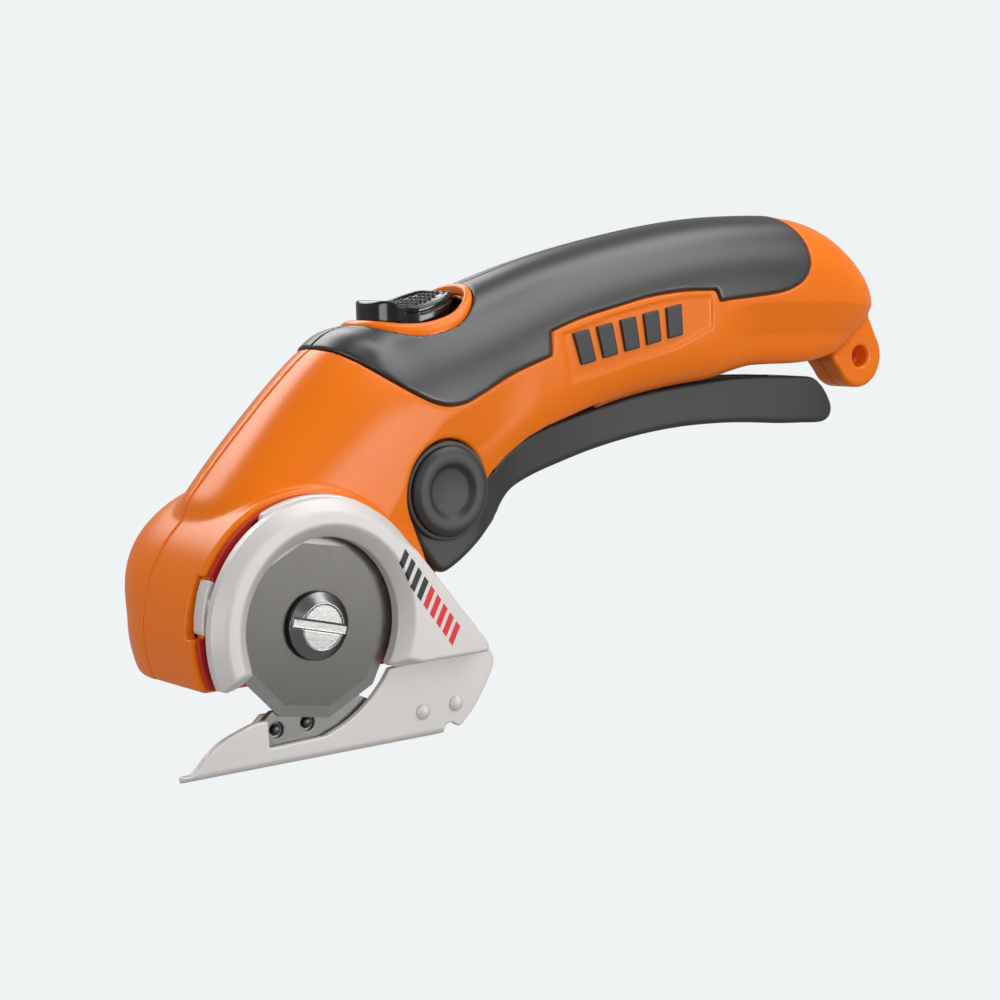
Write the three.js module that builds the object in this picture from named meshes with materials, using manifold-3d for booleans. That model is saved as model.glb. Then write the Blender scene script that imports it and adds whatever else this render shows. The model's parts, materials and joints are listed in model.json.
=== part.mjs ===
// Cordless rotary cutter: a motor-driven ten-sided blade on a gear head, a curved
// handle with a soft grip, a lock-off slider on top and a long trigger lever below.
// Millimetres.  +Z up, +X towards the rear of the handle, -Y towards the blade side.
// Everything is drawn about the blade axis (x = 0, z = 0) and the seam plane (y = 0).
// At the end it is raised by AXIS_HEIGHT and moved by SEAM_Y, so that the origin is on
// the underside of the foot, straight below the blade axis.
import * as THREE from 'three';
import Module from 'manifold-3d';
import { mergeVertices } from 'three/addons/utils/BufferGeometryUtils.js';

const wasm = await Module();
wasm.setup();
const { Manifold, Mesh } = wasm;

// ---------------------------------------------------------------- driving sizes
const AXIS_HEIGHT = 31.0;      // blade axis above the table
const SEAM_Y = 16.0;           // seam plane from the origin on the foot
const GAP = 0.3;               // clearance between neighbouring pieces
const WALL = 2.6;              // housing wall
const GRIP_T = 1.9;            // soft grip thickness
const DRUM_R = 31.5;           // radius of the nose drum
const DRUM_BOTTOM = -12.3;     // flat underside of the nose
const NEAR_FACE = -22.0;       // blade-side face of the nose
const FAR_DEPTH = 21.5;        // depth of the rounded far side of the nose
const BLADE_Y = -24.0;         // mid-plane of the blade
const BLADE_T = 0.9;
const BLADE_R = 22.5;          // 45 mm blade across its corners
const BLADE_SIDES = 10;
const GUARD_R = 30.3;
const GUARD_FRONT = -30.6;
const GUARD_BACK = -23.55;
const WINDOW_R = 20.6;
const PIVOT = [42.2, 26.9];    // lever pivot
const CHEEK_IN = 14.2;         // lever cheeks, distance from the seam plane
const CHEEK_OUT = 18.2;
const MOTOR_ANGLE = 54;        // motor axis above the horizontal, degrees
const MOTOR_R = 11.0;
const CELL_R = 9.2;            // 18650 cell
const CELL_L = 65;

// ---------------------------------------------------------------- materials
const mat = (color, roughness, metalness = 0) => new THREE.MeshStandardMaterial({ color, roughness, metalness });
const ORANGE = () => mat(0xe8701c, 0.38);
const SOFT = () => mat(0x2e2f30, 0.62);
const BLACK = () => mat(0x151516, 0.25);
const DARK = () => mat(0x454647, 0.55);
const SILVER = () => mat(0xc4c3c1, 0.45, 0.7);
const STEEL = () => mat(0x7f8082, 0.4, 0.9);
const CHROME = () => mat(0xdddddd, 0.12, 1.0);
const BRASS = () => mat(0xb79a4a, 0.35, 0.9);
const RED = () => mat(0xc3241c, 0.45);
const NYLON = () => mat(0xd8d4c6, 0.5);
const CAN = () => mat(0xa9abad, 0.35, 0.9);

// ---------------------------------------------------------------- solids from three.js geometry
function solid(geometry) {
  let g = geometry.clone();
  g.deleteAttribute('normal');
  g.deleteAttribute('uv');
  g = mergeVertices(g, 1e-4);
  const make = (tri) => new Manifold(new Mesh({
    numProp: 3,
    vertProperties: new Float32Array(g.attributes.position.array),
    triVerts: new Uint32Array(tri),
  }));
  const t = g.index.array;
  const m = make(t);
  if (m.volume() >= 0) return m;
  const flipped = [];
  for (let i = 0; i < t.length; i += 3) flipped.push(t[i], t[i + 2], t[i + 1]);
  return make(flipped);
}
function toGeometry(m) {
  const me = m.getMesh();
  const g = new THREE.BufferGeometry();
  const n = me.vertProperties.length / me.numProp;
  const p = new Float32Array(n * 3);
  for (let i = 0; i < n; i++) for (let k = 0; k < 3; k++) p[3 * i + k] = me.vertProperties[me.numProp * i + k];
  g.setAttribute('position', new THREE.BufferAttribute(p, 3));
  g.setIndex(new THREE.BufferAttribute(new Uint32Array(me.triVerts), 1));
  return g;
}
const asSolid = (x) => (x instanceof THREE.BufferGeometry ? solid(x) : x);
const cut = (a, ...bs) => bs.reduce((s, b) => s.subtract(asSolid(b)), asSolid(a));
const join = (a, ...bs) => bs.reduce((s, b) => s.add(asSolid(b)), asSolid(a));
const both = (a, b) => asSolid(a).intersect(asSolid(b));

// side outline (x, z) pushed through from y0 to y1
function prismY(points, y0, y1) {
  const s = new THREE.Shape(points.map((p) => new THREE.Vector2(p[0], p[1])));
  const g = new THREE.ExtrudeGeometry(s, { depth: y1 - y0, bevelEnabled: false, curveSegments: 1 });
  g.rotateX(Math.PI / 2);
  g.translate(0, y1, 0);
  return solid(g);
}
// plan outline (x, y) pushed through from z0 to z1
function prismZ(points, z0, z1) {
  const s = new THREE.Shape(points.map((p) => new THREE.Vector2(p[0], p[1])));
  const g = new THREE.ExtrudeGeometry(s, { depth: z1 - z0, bevelEnabled: false, curveSegments: 1 });
  g.translate(0, 0, z0);
  return solid(g);
}
// turned solid: profile of [radius, along] pairs, about the Y axis through (x, z)
function turned(profile, x, z, seg = 24) {
  const g = new THREE.LatheGeometry(profile.map((p) => new THREE.Vector2(p[0], p[1])), seg);
  g.translate(x, 0, z);
  return solid(g);
}
const cylY = (x, z, r, y0, y1, seg = 24) => {
  const g = new THREE.CylinderGeometry(r, r, y1 - y0, seg);
  g.translate(x, (y0 + y1) / 2, z);
  return solid(g);
};
const ringY = (x, z, ro, ri, y0, y1, seg = 24) => cut(cylY(x, z, ro, y0, y1, seg), cylY(x, z, ri, y0 - 1, y1 + 1, seg));
const box = (x0, x1, y0, y1, z0, z1) => {
  const g = new THREE.BoxGeometry(x1 - x0, y1 - y0, z1 - z0);
  g.translate((x0 + x1) / 2, (y0 + y1) / 2, (z0 + z1) / 2);
  return solid(g);
};
// place a geometry drawn along +Z (0 = blade axis) onto the motor axis
const UA = THREE.MathUtils.degToRad(MOTOR_ANGLE);
function onMotorAxis(g) {
  const geo = g instanceof THREE.BufferGeometry ? g.clone() : toGeometry(g);
  geo.rotateY(Math.PI / 2 - UA);
  return solid(geo);
}
function cylM(r, s0, s1, seg = 28) {
  const g = new THREE.CylinderGeometry(r, r, s1 - s0, seg);
  g.rotateX(Math.PI / 2);
  g.translate(0, 0, (s0 + s1) / 2);
  return solid(g);
}
// spur gear or toothed ring drawn in the XY plane
function gearOutline(teeth, module, phase, fill, add = 0.9, ded = 1.15, steps = 3) {
  const rp = (teeth * module) / 2;
  const ra = rp + add * module;
  const rf = rp - ded * module;
  const pts = [];
  const half = (Math.PI / teeth) * fill;           // half tooth angle at the pitch circle
  const alpha = THREE.MathUtils.degToRad(20);
  const rb = rp * Math.cos(alpha);
  const inv = (a) => Math.tan(a) - a;
  const halfAt = (r) => half + inv(alpha) - inv(Math.acos(Math.min(1, rb / Math.max(r, rb))));
  for (let i = 0; i < teeth; i++) {
    const c = phase + (i * 2 * Math.PI) / teeth;
    const seq = steps === 3 ? [rf, rp, ra] : [rf, ra];
    const hs = seq.map((r) => halfAt(r));
    for (let k = 0; k < seq.length; k++) pts.push([seq[k] * Math.cos(c - hs[k]), seq[k] * Math.sin(c - hs[k])]);
    for (let k = seq.length - 1; k >= 0; k--) pts.push([seq[k] * Math.cos(c + hs[k]), seq[k] * Math.sin(c + hs[k])]);
  }
  return pts;
}
function extrudeXY(points, z0, z1) { return prismZ(points, z0, z1); }

// ---------------------------------------------------------------- body loft
// Each station joins a point T on the top or front line to a point B on the underside.
// Tx, Tz, Bx, Bz, half width blade side, half width far side, c, and the exponents:
// top blade side, top far side, bottom
const STATIONS = [
  [208.6, 65.2, 206.6, 61.6, 2.8, 2.8, 0.5, 2.2, 2.2, 2.1],
  [207.2, 69.8, 203.6, 58.0, 7.2, 7.2, 0.5, 2.2, 2.2, 2.3],
  [202.8, 76.2, 199.4, 54.0, 11.2, 11.2, 0.5, 2.3, 2.3, 2.6],
  [195.8, 82.6, 193.4, 50.0, 13.7, 13.7, 0.5, 2.4, 2.4, 3.0],
  [185.4, 88.2, 184.0, 47.5, 15.3, 15.3, 0.5, 2.4, 2.4, 3.6],
  [172.0, 91.0, 173.0, 46.6, 16.1, 16.1, 0.51, 2.4, 2.4, 4.0],
  [158.0, 91.6, 160.0, 47.0, 16.4, 16.4, 0.51, 2.4, 2.4, 4.0],
  [142.0, 91.2, 145.0, 47.4, 16.5, 16.5, 0.52, 2.4, 2.4, 4.0],
  [125.0, 89.4, 129.0, 46.7, 16.5, 16.5, 0.52, 2.4, 2.4, 4.0],
  [108.0, 86.8, 114.0, 45.2, 16.6, 16.6, 0.52, 2.4, 2.4, 4.0],
  [92.0, 83.8, 100.0, 42.8, 16.9, 16.9, 0.52, 2.4, 2.4, 4.0],
  [76.0, 80.0, 88.0, 39.4, 17.4, 17.4, 0.52, 2.4, 2.4, 4.0],
  [62.0, 75.8, 78.0, 35.6, 18.1, 18.1, 0.52, 2.4, 2.4, 4.0],
  [50.0, 72.7, 70.0, 31.4, 18.9, 18.7, 0.52, 2.4, 2.4, 4.0],
  [38.0, 69.8, 64.0, 25.8, 19.7, 19.2, 0.52, 2.5, 2.4, 4.0],
  [28.0, 66.8, 58.0, 18.5, 20.4, 19.6, 0.52, 2.6, 2.3, 4.0],
  [19.0, 62.6, 51.0, 10.0, 20.9, 19.8, 0.5, 2.8, 2.3, 4.0],
  [10.0, 55.1, 43.0, 1.5, 21.3, 19.8, 0.5, 3.0, 2.2, 4.0],
  [1.0, 46.6, 34.0, -6.0, 21.6, 19.6, 0.5, 3.2, 2.2, 4.0],
  [-8.0, 37.7, 24.0, -10.5, 21.8, 18.6, 0.5, 3.5, 2.2, 4.0],
  [-14.0, 31.3, 13.0, -11.5, 21.6, 17.0, 0.5, 3.5, 2.2, 4.0],
  [-18.2, 26.4, 3.0, -11.0, 20.0, 14.0, 0.5, 3.2, 2.2, 3.5],
  [-20.5, 20.0, -6.0, -9.0, 16.0, 9.0, 0.5, 2.6, 2.2, 3.0],
];
function stationAt(u) {
  const n = STATIONS.length - 1;
  const i = Math.min(n - 1, Math.floor(u));
  const t = u - i;
  const P = (k) => (k < 0 ? STATIONS[0].map((v, j) => 2 * v - STATIONS[1][j])
    : k > n ? STATIONS[n].map((v, j) => 2 * v - STATIONS[n - 1][j]) : STATIONS[k]);
  const [a, b, c, d] = [P(i - 1), P(i), P(i + 1), P(i + 2)];
  return b.map((_, j) => 0.5 * (2 * b[j] + (c[j] - a[j]) * t + (2 * a[j] - 5 * b[j] + 4 * c[j] - d[j]) * t * t
    + (-a[j] + 3 * b[j] - 3 * c[j] + d[j]) * t * t * t));
}
function loftRings(nRings, nAround, inset, u0 = 0, u1 = STATIONS.length - 1) {
  const rings = [];
  for (let r = 0; r < nRings; r++) {
    const u = u0 + ((u1 - u0) * r) / (nRings - 1);
    const [Tx, Tz, Bx, Bz, wn, wf, c, etn, etf, eb] = stationAt(u);
    const L = Math.hypot(Tx - Bx, Tz - Bz);
    const ux = (Tx - Bx) / L, uz = (Tz - Bz) / L;
    const a = c * L - inset, b = (1 - c) * L - inset;
    const Mx = Tx - ux * c * L, Mz = Tz - uz * c * L;
    const ring = [];
    for (let k = 0; k < nAround; k++) {
      const ph = (2 * Math.PI * k) / nAround;
      let cs = Math.cos(ph), sn = Math.sin(ph);
      if (Math.abs(cs) < 1e-9) cs = 0;
      if (Math.abs(sn) < 1e-9) sn = 0;
      const near = sn < 0;
      const e = cs > 0 ? (near ? etn : etf) : eb;
      const w = (near ? wn : wf) - inset;
      const y = w * Math.sign(sn) * Math.abs(sn) ** (2 / e);
      const q = (cs > 0 ? a : b) * Math.sign(cs) * Math.abs(cs) ** (2 / e);
      ring.push([Mx + ux * q, y, Mz + uz * q]);
    }
    rings.push(ring);
  }
  return rings;
}
// closed skin over a stack of equal rings
function skin(rings) {
  const n = rings.length, m = rings[0].length;
  const pos = [];
  for (const r of rings) for (const p of r) pos.push(...p);
  const centre = (r) => r.reduce((s, p) => s.map((v, i) => v + p[i] / m), [0, 0, 0]);
  pos.push(...centre(rings[0]), ...centre(rings[n - 1]));
  const idx = [];
  for (let i = 0; i < n - 1; i++) for (let k = 0; k < m; k++) {
    const a = i * m + k, b = i * m + ((k + 1) % m), c = a + m, d = b + m;
    idx.push(a, c, b, b, c, d);
  }
  for (let k = 0; k < m; k++) {
    idx.push(n * m, k, (k + 1) % m);
    idx.push(n * m + 1, (n - 1) * m + ((k + 1) % m), (n - 1) * m + k);
  }
  const g = new THREE.BufferGeometry();
  g.setAttribute('position', new THREE.BufferAttribute(new Float32Array(pos), 3));
  g.setIndex(idx);
  return solid(g);
}
const N_RINGS = 30, N_AROUND = 28;   // facets of the outer body
const bodyLoft = (inset, nr = N_RINGS, na = N_AROUND, u0, u1) => skin(loftRings(nr, na, inset, u0, u1));

// nose drum: straight towards the blade, rounded off on the far side
function drumLoft(inset, seg, steps) {
  const R = DRUM_R - inset, zb = DRUM_BOTTOM + inset;
  const outline = (grow) => {
    const pts = [];
    const a0 = Math.asin(zb / R);
    for (let k = 0; k <= seg; k++) {
      const th = Math.PI - a0 + ((2 * a0 - Math.PI) * k) / seg;
      pts.push([R * Math.cos(th), R * Math.sin(th), th]);
    }
    for (let k = 1; k < 8; k++) {
      const f = k / 8;
      pts.push([pts[seg][0] * (1 - f) + pts[0][0] * f, zb, null]);
    }
    return pts;
  };
  const base = outline();
  const rings = [base.map((p) => [p[0], NEAR_FACE + inset, p[1]]), base.map((p) => [p[0], 0, p[1]])];
  for (let s = 1; s <= steps; s++) {
    const t = Math.sin((Math.PI / 2) * (s / steps) * (s === steps ? 0.985 : 1));
    rings.push(base.map((p) => {
      const phi = Math.atan2(p[1], -p[0]) * 180 / Math.PI;
      const k = Math.min(1, Math.max(0, phi / 45));
      const e = 2.05 + 0.85 * k * k * (3 - 2 * k);
      const f = (1 - t ** e) ** (1 / e);
      const keep = (R - 20 * (1 - f)) / R;
      return [p[0] * keep, (FAR_DEPTH - inset) * t, p[1] * keep];
    }));
  }
  return skin(rings);
}

// ---------------------------------------------------------------- shared outlines (x, z)
const GRIP_EDGE = [
  [13.0, 66.0], [17.0, 61.7], [18.0, 61.3], [20.6, 59.2], [26.1, 55.3], [33.0, 51.2], [38.4, 48.5], [43.3, 47.5], [48.6, 47.8],
  [53.8, 49.5], [65.1, 54.1], [77.4, 57.5], [77.5, 63.6], [86.1, 66.2], [98.7, 68.8], [111.2, 71.1], [124.1, 72.2], [135.3, 72.1],
  [136.4, 69.0], [142.8, 69.5], [149.9, 69.9], [158.8, 70.6], [164.7, 71.8], [169.1, 73.9], [171.8, 77.0], [172.4, 80.6],
  [171.9, 84.6], [170.4, 88.0], [168.0, 92.0], [168.0, 104.0], [13.0, 104.0],
];
function grown(points, d) {
  // moves every edge outwards by d (outline given clockwise or anticlockwise)
  const n = points.length;
  let area = 0;
  for (let i = 0; i < n; i++) { const [a, b] = [points[i], points[(i + 1) % n]]; area += a[0] * b[1] - b[0] * a[1]; }
  const s = area > 0 ? 1 : -1;
  return points.map((p, i) => {
    const a = points[(i + n - 1) % n], b = points[(i + 1) % n];
    const n1 = [s * (p[1] - a[1]), -s * (p[0] - a[0])], n2 = [s * (b[1] - p[1]), -s * (b[0] - p[0])];
    const l1 = Math.hypot(...n1), l2 = Math.hypot(...n2);
    const u = [n1[0] / l1, n1[1] / l1], v = [n2[0] / l2, n2[1] / l2];
    const k = 1 + u[0] * v[0] + u[1] * v[1];
    const m = Math.min(1 / Math.max(k, 0.25), 4);
    return [p[0] + d * (u[0] + v[0]) * m, p[1] + d * (u[1] + v[1]) * m];
  });
}
// opening round the slider, seen from above (x, y)
function oval(x0, x1, w, n, d = 0) {
  n = Math.min(n, 24);
  const pts = [];
  const cx = (x0 + x1) / 2, a = (x1 - x0) / 2 + d, b = w + d;
  for (let k = 0; k < n; k++) {
    const ph = (2 * Math.PI * k) / n;
    const c = Math.cos(ph), s = Math.sin(ph);
    pts.push([cx + a * Math.sign(c) * Math.abs(c) ** 0.86, b * Math.sign(s) * Math.abs(s) ** 0.86]);
  }
  return pts;
}
const BEZEL = { x0: 28.8, x1: 61.6, w: 13.8 };
const HOLE = { x0: 31.2, x1: 59.6, w: 11.7 };

// lever outline
const LEVER_TOP = [[64.6, 33.9], [73.0, 37.4], [81.0, 39.6], [90.0, 41.4], [100.0, 43.3], [110.5, 45.1], [120.0, 46.3], [130.5, 47.1],
  [140.0, 47.5], [150.6, 47.6], [161.0, 47.3], [172.6, 46.6], [180.6, 45.7], [184.2, 43.2]];
const LEVER_BOTTOM = [[187.4, 39.7], [189.3, 37.1], [188.5, 34.7], [185.2, 33.1], [175.0, 33.3], [166.0, 33.8], [155.0, 34.8], [145.0, 35.4], [129.5, 35.5],
  [114.0, 34.4], [98.5, 32.2], [86.0, 29.7], [74.0, 26.9], [67.0, 24.3], [63.0, 21.0], [60.3, 17.7], [55.8, 15.0], [47.5, 9.5], [44.0, 7.6],
  [40.8, 6.6], [37.0, 6.6], [34.0, 9.2], [31.8, 15.0]];
function leverOutline() {
  const pts = [];
  const R = 11.9;
  // round the pivot, from the rear over the top to the front
  for (let a = 24; a <= 190; a += 12) pts.push([PIVOT[0] + R * Math.cos((a * Math.PI) / 180), PIVOT[1] + R * Math.sin((a * Math.PI) / 180)]);
  return [...LEVER_TOP.slice().reverse().map((p) => p), [58.6, 29.6], ...pts, ...LEVER_BOTTOM.slice().reverse()].reverse();
}
const LEVER_PLAN = [[26, 18.2], [51.0, 18.2], [55.0, 17.3], [60.0, 14.9], [66.0, 13.2], [75.0, 11.8], [90.0, 10.2], [105.0, 9.4], [130.0, 9.0],
  [160.0, 8.8], [178.0, 8.5], [186.0, 7.8], [189.2, 6.2], [191.0, 4.0]];
const planOf = (grow) => {
  const up = LEVER_PLAN.map(([x, w]) => [x, w + grow]);
  return [...up.map(([x, w]) => [x, -w]), ...up.slice().reverse().map(([x, w]) => [x, w])];
};
const TRAVEL = (4 * Math.PI) / 180;
// room for the lever inside the handle: its top line carried through the squeeze
const ROOF = LEVER_TOP.map(([x, z]) => [x, z + TRAVEL * (x - PIVOT[0]) + 1.0]);
const slotOutline = (grow) => [
  [59.6 - grow, 10.0], [59.6 - grow, 34.2 + grow], [61.2, 35.6 + grow],
  ...ROOF.slice(0, 13).map(([x, z]) => [x, z + grow]), [186.4 + grow, 55.4 + grow], [191.4 + grow, 47.2], [191.4 + grow, 30.0], [140, 20.0],
];

// ---------------------------------------------------------------- housing
const outerBody = join(bodyLoft(0), drumLoft(0, 26, 5));
const innerBody = join(bodyLoft(WALL, 16, 16, 1.3, 21.2), drumLoft(WALL, 16, 3));

const pivotZone = (g) => {
  const pts = [];
  for (let a = 32; a <= 195; a += 12.5) pts.push([PIVOT[0] + (12.7 + g) * Math.cos((a * Math.PI) / 180), PIVOT[1] + (12.7 + g) * Math.sin((a * Math.PI) / 180)]);
  return [...pts, [29.6 - g, 16.0], [31.0 - g, 6.0], [35.0 - g, -4.0 - g], [90.0, -4.0 - g], [90.0, 20.0], [64.0, 27.0], [61.8 + g, 32.4 + g], [57.5, 32.8 + g], [54.6, 33.4 + g]];
};
const zoneNear = (g, inner) => prismY(pivotZone(g), -40, -inner);
const zoneFar = (g, inner) => prismY(pivotZone(g), inner, 40);

let cavity = cut(innerBody,
  both(prismY(slotOutline(1.9), -40, 40), box(50, 215, -40, 40, -40, 120)),
  zoneNear(1.6, 12.0), zoneFar(1.6, 12.0));

// bosses
const SPINDLE_BOSS = 9.6;
const SCREWS = [[-17.5, 12.5], [8.0, 21.5 + 0], [85.5, 50.4], [178.5, 70.5], [14.5, -7.2]];
SCREWS[1] = [64.0, 45.0];
cavity = cut(cavity, cylY(0, 0, SPINDLE_BOSS, -22, -8.0, 32));
for (const [x, z] of SCREWS) cavity = cut(cavity, cylY(x, z, 3.4, -30, 30, 12));

let shell = cut(outerBody, cavity);
// slot for the lever, recesses for its cheeks
shell = cut(shell, both(prismY(slotOutline(0), -40, 40), prismZ(planOf(0.6), -40, 120)), zoneNear(0, CHEEK_IN - GAP), zoneFar(0, CHEEK_IN - GAP));
// pivot pin sockets
shell = cut(shell, cylY(PIVOT[0], PIVOT[1], 2.8, -15, -11.5, 20), cylY(PIVOT[0], PIVOT[1], 2.8, 11.5, 15, 20));
// opening and seat for the slider and its bezel
shell = cut(shell, prismZ(oval(HOLE.x0, HOLE.x1, HOLE.w, 40), 55, 90));
const seat = cut(prismZ(oval(BEZEL.x0, BEZEL.x1, BEZEL.w, 40, GAP), 40, 110), bodyLoft(1.5 + GAP));
shell = cut(shell, seat);
// grip pocket
const gripRing = (g, t) => both(prismY(g ? grown(GRIP_EDGE, g) : GRIP_EDGE, -40, 40), cut(box(-20, 215, -40, 40, 20, 110), bodyLoft(t)));
shell = cut(shell, both(gripRing(GAP, GRIP_T + GAP), box(5, 215, -40, 40, 40, 110)));
// spindle bore, bearing seats
shell = cut(shell, cylY(0, 0, 6.8, -19.4, -7, 32), cylY(0, 0, 4.6, -23, -19, 28));
// charging socket in the rear wall
shell = cut(shell, (() => { const g = new THREE.CylinderGeometry(3.2, 3.2, 20, 24); g.rotateZ(Math.PI / 2); g.translate(203, 0, 64.5); return solid(g); })());

// lanyard lug
const LUG = [201.6, 50.6];
const LUG_R = 9.0;
const lug = (() => {
  const pts = [];
  for (let a = -150; a <= 30; a += 15) pts.push([LUG[0] + LUG_R * Math.cos((a * Math.PI) / 180), LUG[1] + LUG_R * Math.sin((a * Math.PI) / 180)]);
  return [...pts, [205.0, 63.5], [200.0, 65.0], [192.0, 60.0], [190.4, 50.0]];
})();
shell = join(shell, cut(prismY(lug, -5.8, 5.8), bodyLoft(WALL - 0.6, 20, 20)));
shell = cut(shell, cylY(LUG[0], LUG[1], 3.1, -20, 20, 28), cavity);

// badge pocket on each side
const BADGE = [[84.0, 62.9], [124.4, 69.3], [126.0, 61.4], [88.0, 54.9]];
const badgePocket = (s) => prismY(grown(BADGE, 0.9), s < 0 ? -30 : 14.4, s < 0 ? -14.4 : 30);
const skinDepth = (g) => bodyLoft(g);
shell = cut(shell, cut(badgePocket(-1), skinDepth(1.3)), cut(badgePocket(1), skinDepth(1.3)));

// assembly screws: clearance hole and head counterbore from the far side, blind hole on the blade side
const farDepth = (x, z) => {
  // outer surface of the far half at (x, z)
  const probe = both(cylY(x, z, 0.4, 0.5, 40, 6), outerBody);
  return probe.boundingBox().max[1];
};
const screwData = SCREWS.map(([x, z]) => ({ x, z, head: farDepth(x, z) - 5.2 }));
for (const s of screwData) {
  shell = cut(shell, cylY(s.x, s.z, 2.9, s.head, 40, 12), cylY(s.x, s.z, 1.65, -11.0, s.head + 0.1, 10));
}
// guard screws run from inside the nose through its blade-side wall
const GUARD_SCREWS = [[-13.9, 24.0], [27.6, -4.6]];
for (const [x, z] of GUARD_SCREWS) shell = cut(shell, cylY(x, z, 1.6, -25, -17, 12), cylY(x, z, 3.0, NEAR_FACE + WALL - 0.01, -10, 14));

const HALF = GAP / 2;
const housingLeft = both(shell, box(-60, 230, -60, -HALF, -60, 140));
const housingRight = both(shell, box(-60, 230, HALF, 60, -60, 140));

// soft grip
let grip = cut(gripRing(0, GRIP_T), cut(box(-20, 215, -60, 60, 10, 120), bodyLoft(0)));
grip = cut(grip, prismZ(oval(BEZEL.x0, BEZEL.x1, BEZEL.w, 40, 2 * GAP), 30, 120));
for (const s of screwData) grip = cut(grip, cylY(s.x, s.z, 3.4, s.head, 40, 16));
const gripLeft = both(grip, box(-60, 230, -60, -HALF, -60, 140));
const gripRight = both(grip, box(-60, 230, HALF, 60, -60, 140));

// bezel round the slider
const bezel = both(cut(prismZ(oval(BEZEL.x0, BEZEL.x1, BEZEL.w, 40), 40, 110), prismZ(oval(HOLE.x0, HOLE.x1, HOLE.w, 40, 0.0), 40, 120)),
  cut(bodyLoft(-0.7), bodyLoft(1.5)));

// lock-off slider
const SLIDER = [[33.0, 65.0], [33.0, 71.4], [34.0, 72.7], [35.4, 72.9], [37.6, 72.0], [41.0, 71.5], [46.0, 72.3], [51.0, 73.8], [54.4, 74.8], [55.9, 74.5], [56.6, 73.4], [56.6, 69.4]];
const sliderPlan = oval(33.0, 56.6, 9.8, 36);
const slider = join(both(prismY(SLIDER, -12, 12), prismZ(sliderPlan, 50, 90)),
  prismY([[40.0, 62.4], [46.0, 63.8], [46.0, 69.0], [40.0, 68.0]], -2.2, 2.2));

// lever
let lever = both(prismY(leverOutline(), -18.2, 18.2), prismZ(planOf(0), -20, 80));
lever = cut(lever, box(10, 60.6, -CHEEK_IN, CHEEK_IN, -20, 60),
  prismY([[92, 37.6], [110, 40.4], [130, 42.6], [150, 43.0], [172, 42.0], [176, 41.6], [176, 60], [92, 60]], -6.4, 6.4),
  cylY(PIVOT[0], PIVOT[1], 3.3, -20, 20, 24));

// pivot caps with their pins
const cap = (s) => {
  const p = [[0, 12.4], [2.5, 12.4], [2.5, 18.5], [12.1, 18.5], [12.1, 20.6], [11.0, 21.9], [6.9, 21.9], [6.2, 21.0], [0, 21.0]];
  const q = p.map(([r, a]) => [r, s * a]);
  return turned(q, PIVOT[0], PIVOT[1], 28);
};

// ---------------------------------------------------------------- head metalwork
function guardOutline(grow = 0) {
  const R = GUARD_R + grow, pts = [];
  // arch from its lower left end over the top, then straight down the wing
  for (let a = 202; a >= 38; a -= 8) pts.push([R * Math.cos((a * Math.PI) / 180), R * Math.sin((a * Math.PI) / 180)]);
  pts.push([45.2 + grow, -7.4], [46.6 + grow, -10.4], [45.8 + grow, -12.1 - grow]);
  pts.push([19.9, -12.1 - grow]);
  pts.push([17.4, -10.6]);
  for (let a = -28; a <= 198; a += 9) pts.push([WINDOW_R * Math.cos((a * Math.PI) / 180), WINDOW_R * Math.sin((a * Math.PI) / 180)]);
  pts.push([-19.0, -7.6], [-21.9, -10.3], [-25.3, -11.3]);
  return pts;
}
const plateOutline = () => {
  const R = GUARD_R, pts = [];
  for (let a = 202; a >= 38; a -= 9) pts.push([R * Math.cos((a * Math.PI) / 180), R * Math.sin((a * Math.PI) / 180)]);
  pts.push([44.2, -6.4], [45.4, -10.6], [44.8, -12.0], [-24.0, -12.0]);
  return pts;
};
const TAB_NOTCH = [[-28.4, 0.3], [-33.0, 0.3], [-33.0, 14.1], [-26.2, 14.1], [-26.2, 12.0], [-28.4, 6.0]];
const RED_FRONT = -23.3;
const redPlate = cut(prismY(plateOutline(), RED_FRONT, NEAR_FACE - GAP), cylY(0, 0, 8.6, -26, -20, 32),
  ...GUARD_SCREWS.map(([x, z]) => cylY(x, z, 1.6, -26, -20, 12)), prismY(TAB_NOTCH, -26, -20));

// foot: fin with the blade cut-out, base flange, and the strap behind the anvil
const FOOT_FRONT = -25.4, FOOT_BACK = RED_FRONT - GAP;
const ZB = -AXIS_HEIGHT;
const FIN = [
  [-36.0, ZB], [34.4, ZB], [35.6, ZB + 1.9], [36.6, ZB + 2.5], [38.2, ZB + 2.1], [39.4, ZB + 1.2], [40.6, ZB + 1.8], [43.6, -26.4], [47.0, -22.0], [50.2, -16.8], [50.6, -14.6],
  [49.6, -12.4], [45.0, -9.0], [38.5, -0.5], [33.5, 5.4], [27.5, 9.0], [24.6, 8.9], [26.0, 0.0], [25.3, -6.0], [23.6, -12.6], [19.8, -12.7], [17.3, -15.9], [13.4, -19.7],
  [7.6, -23.5], [1.0, -26.1], [-14.1, -26.5], [-14.3, -20.3], [-17.6, -20.2], [-21.5, -21.3], [-26.4, -23.1], [-30.2, -25.6], [-33.0, -28.4], [-36.0, -29.4],
];
const FLANGE = [[-37.0, FOOT_FRONT + 0.3], [34.4, FOOT_FRONT], [34.4, -9.0], [-14.0, -9.0], [-24.0, -14.0], [-31.0, -19.5], [-36.6, -22.6]];
const anvilShape = [[-14.9, -28.8], [-14.9, -20.9], [-12.2, -18.6], [3.0, -17.6], [9.4, -17.2], [14.5, -19.5], [12.5, -23.0], [5.5, -28.8]];
const ANVIL_FRONT = BLADE_Y + BLADE_T / 2 + 0.15, ANVIL_BACK = ANVIL_FRONT + 1.6;
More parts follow.
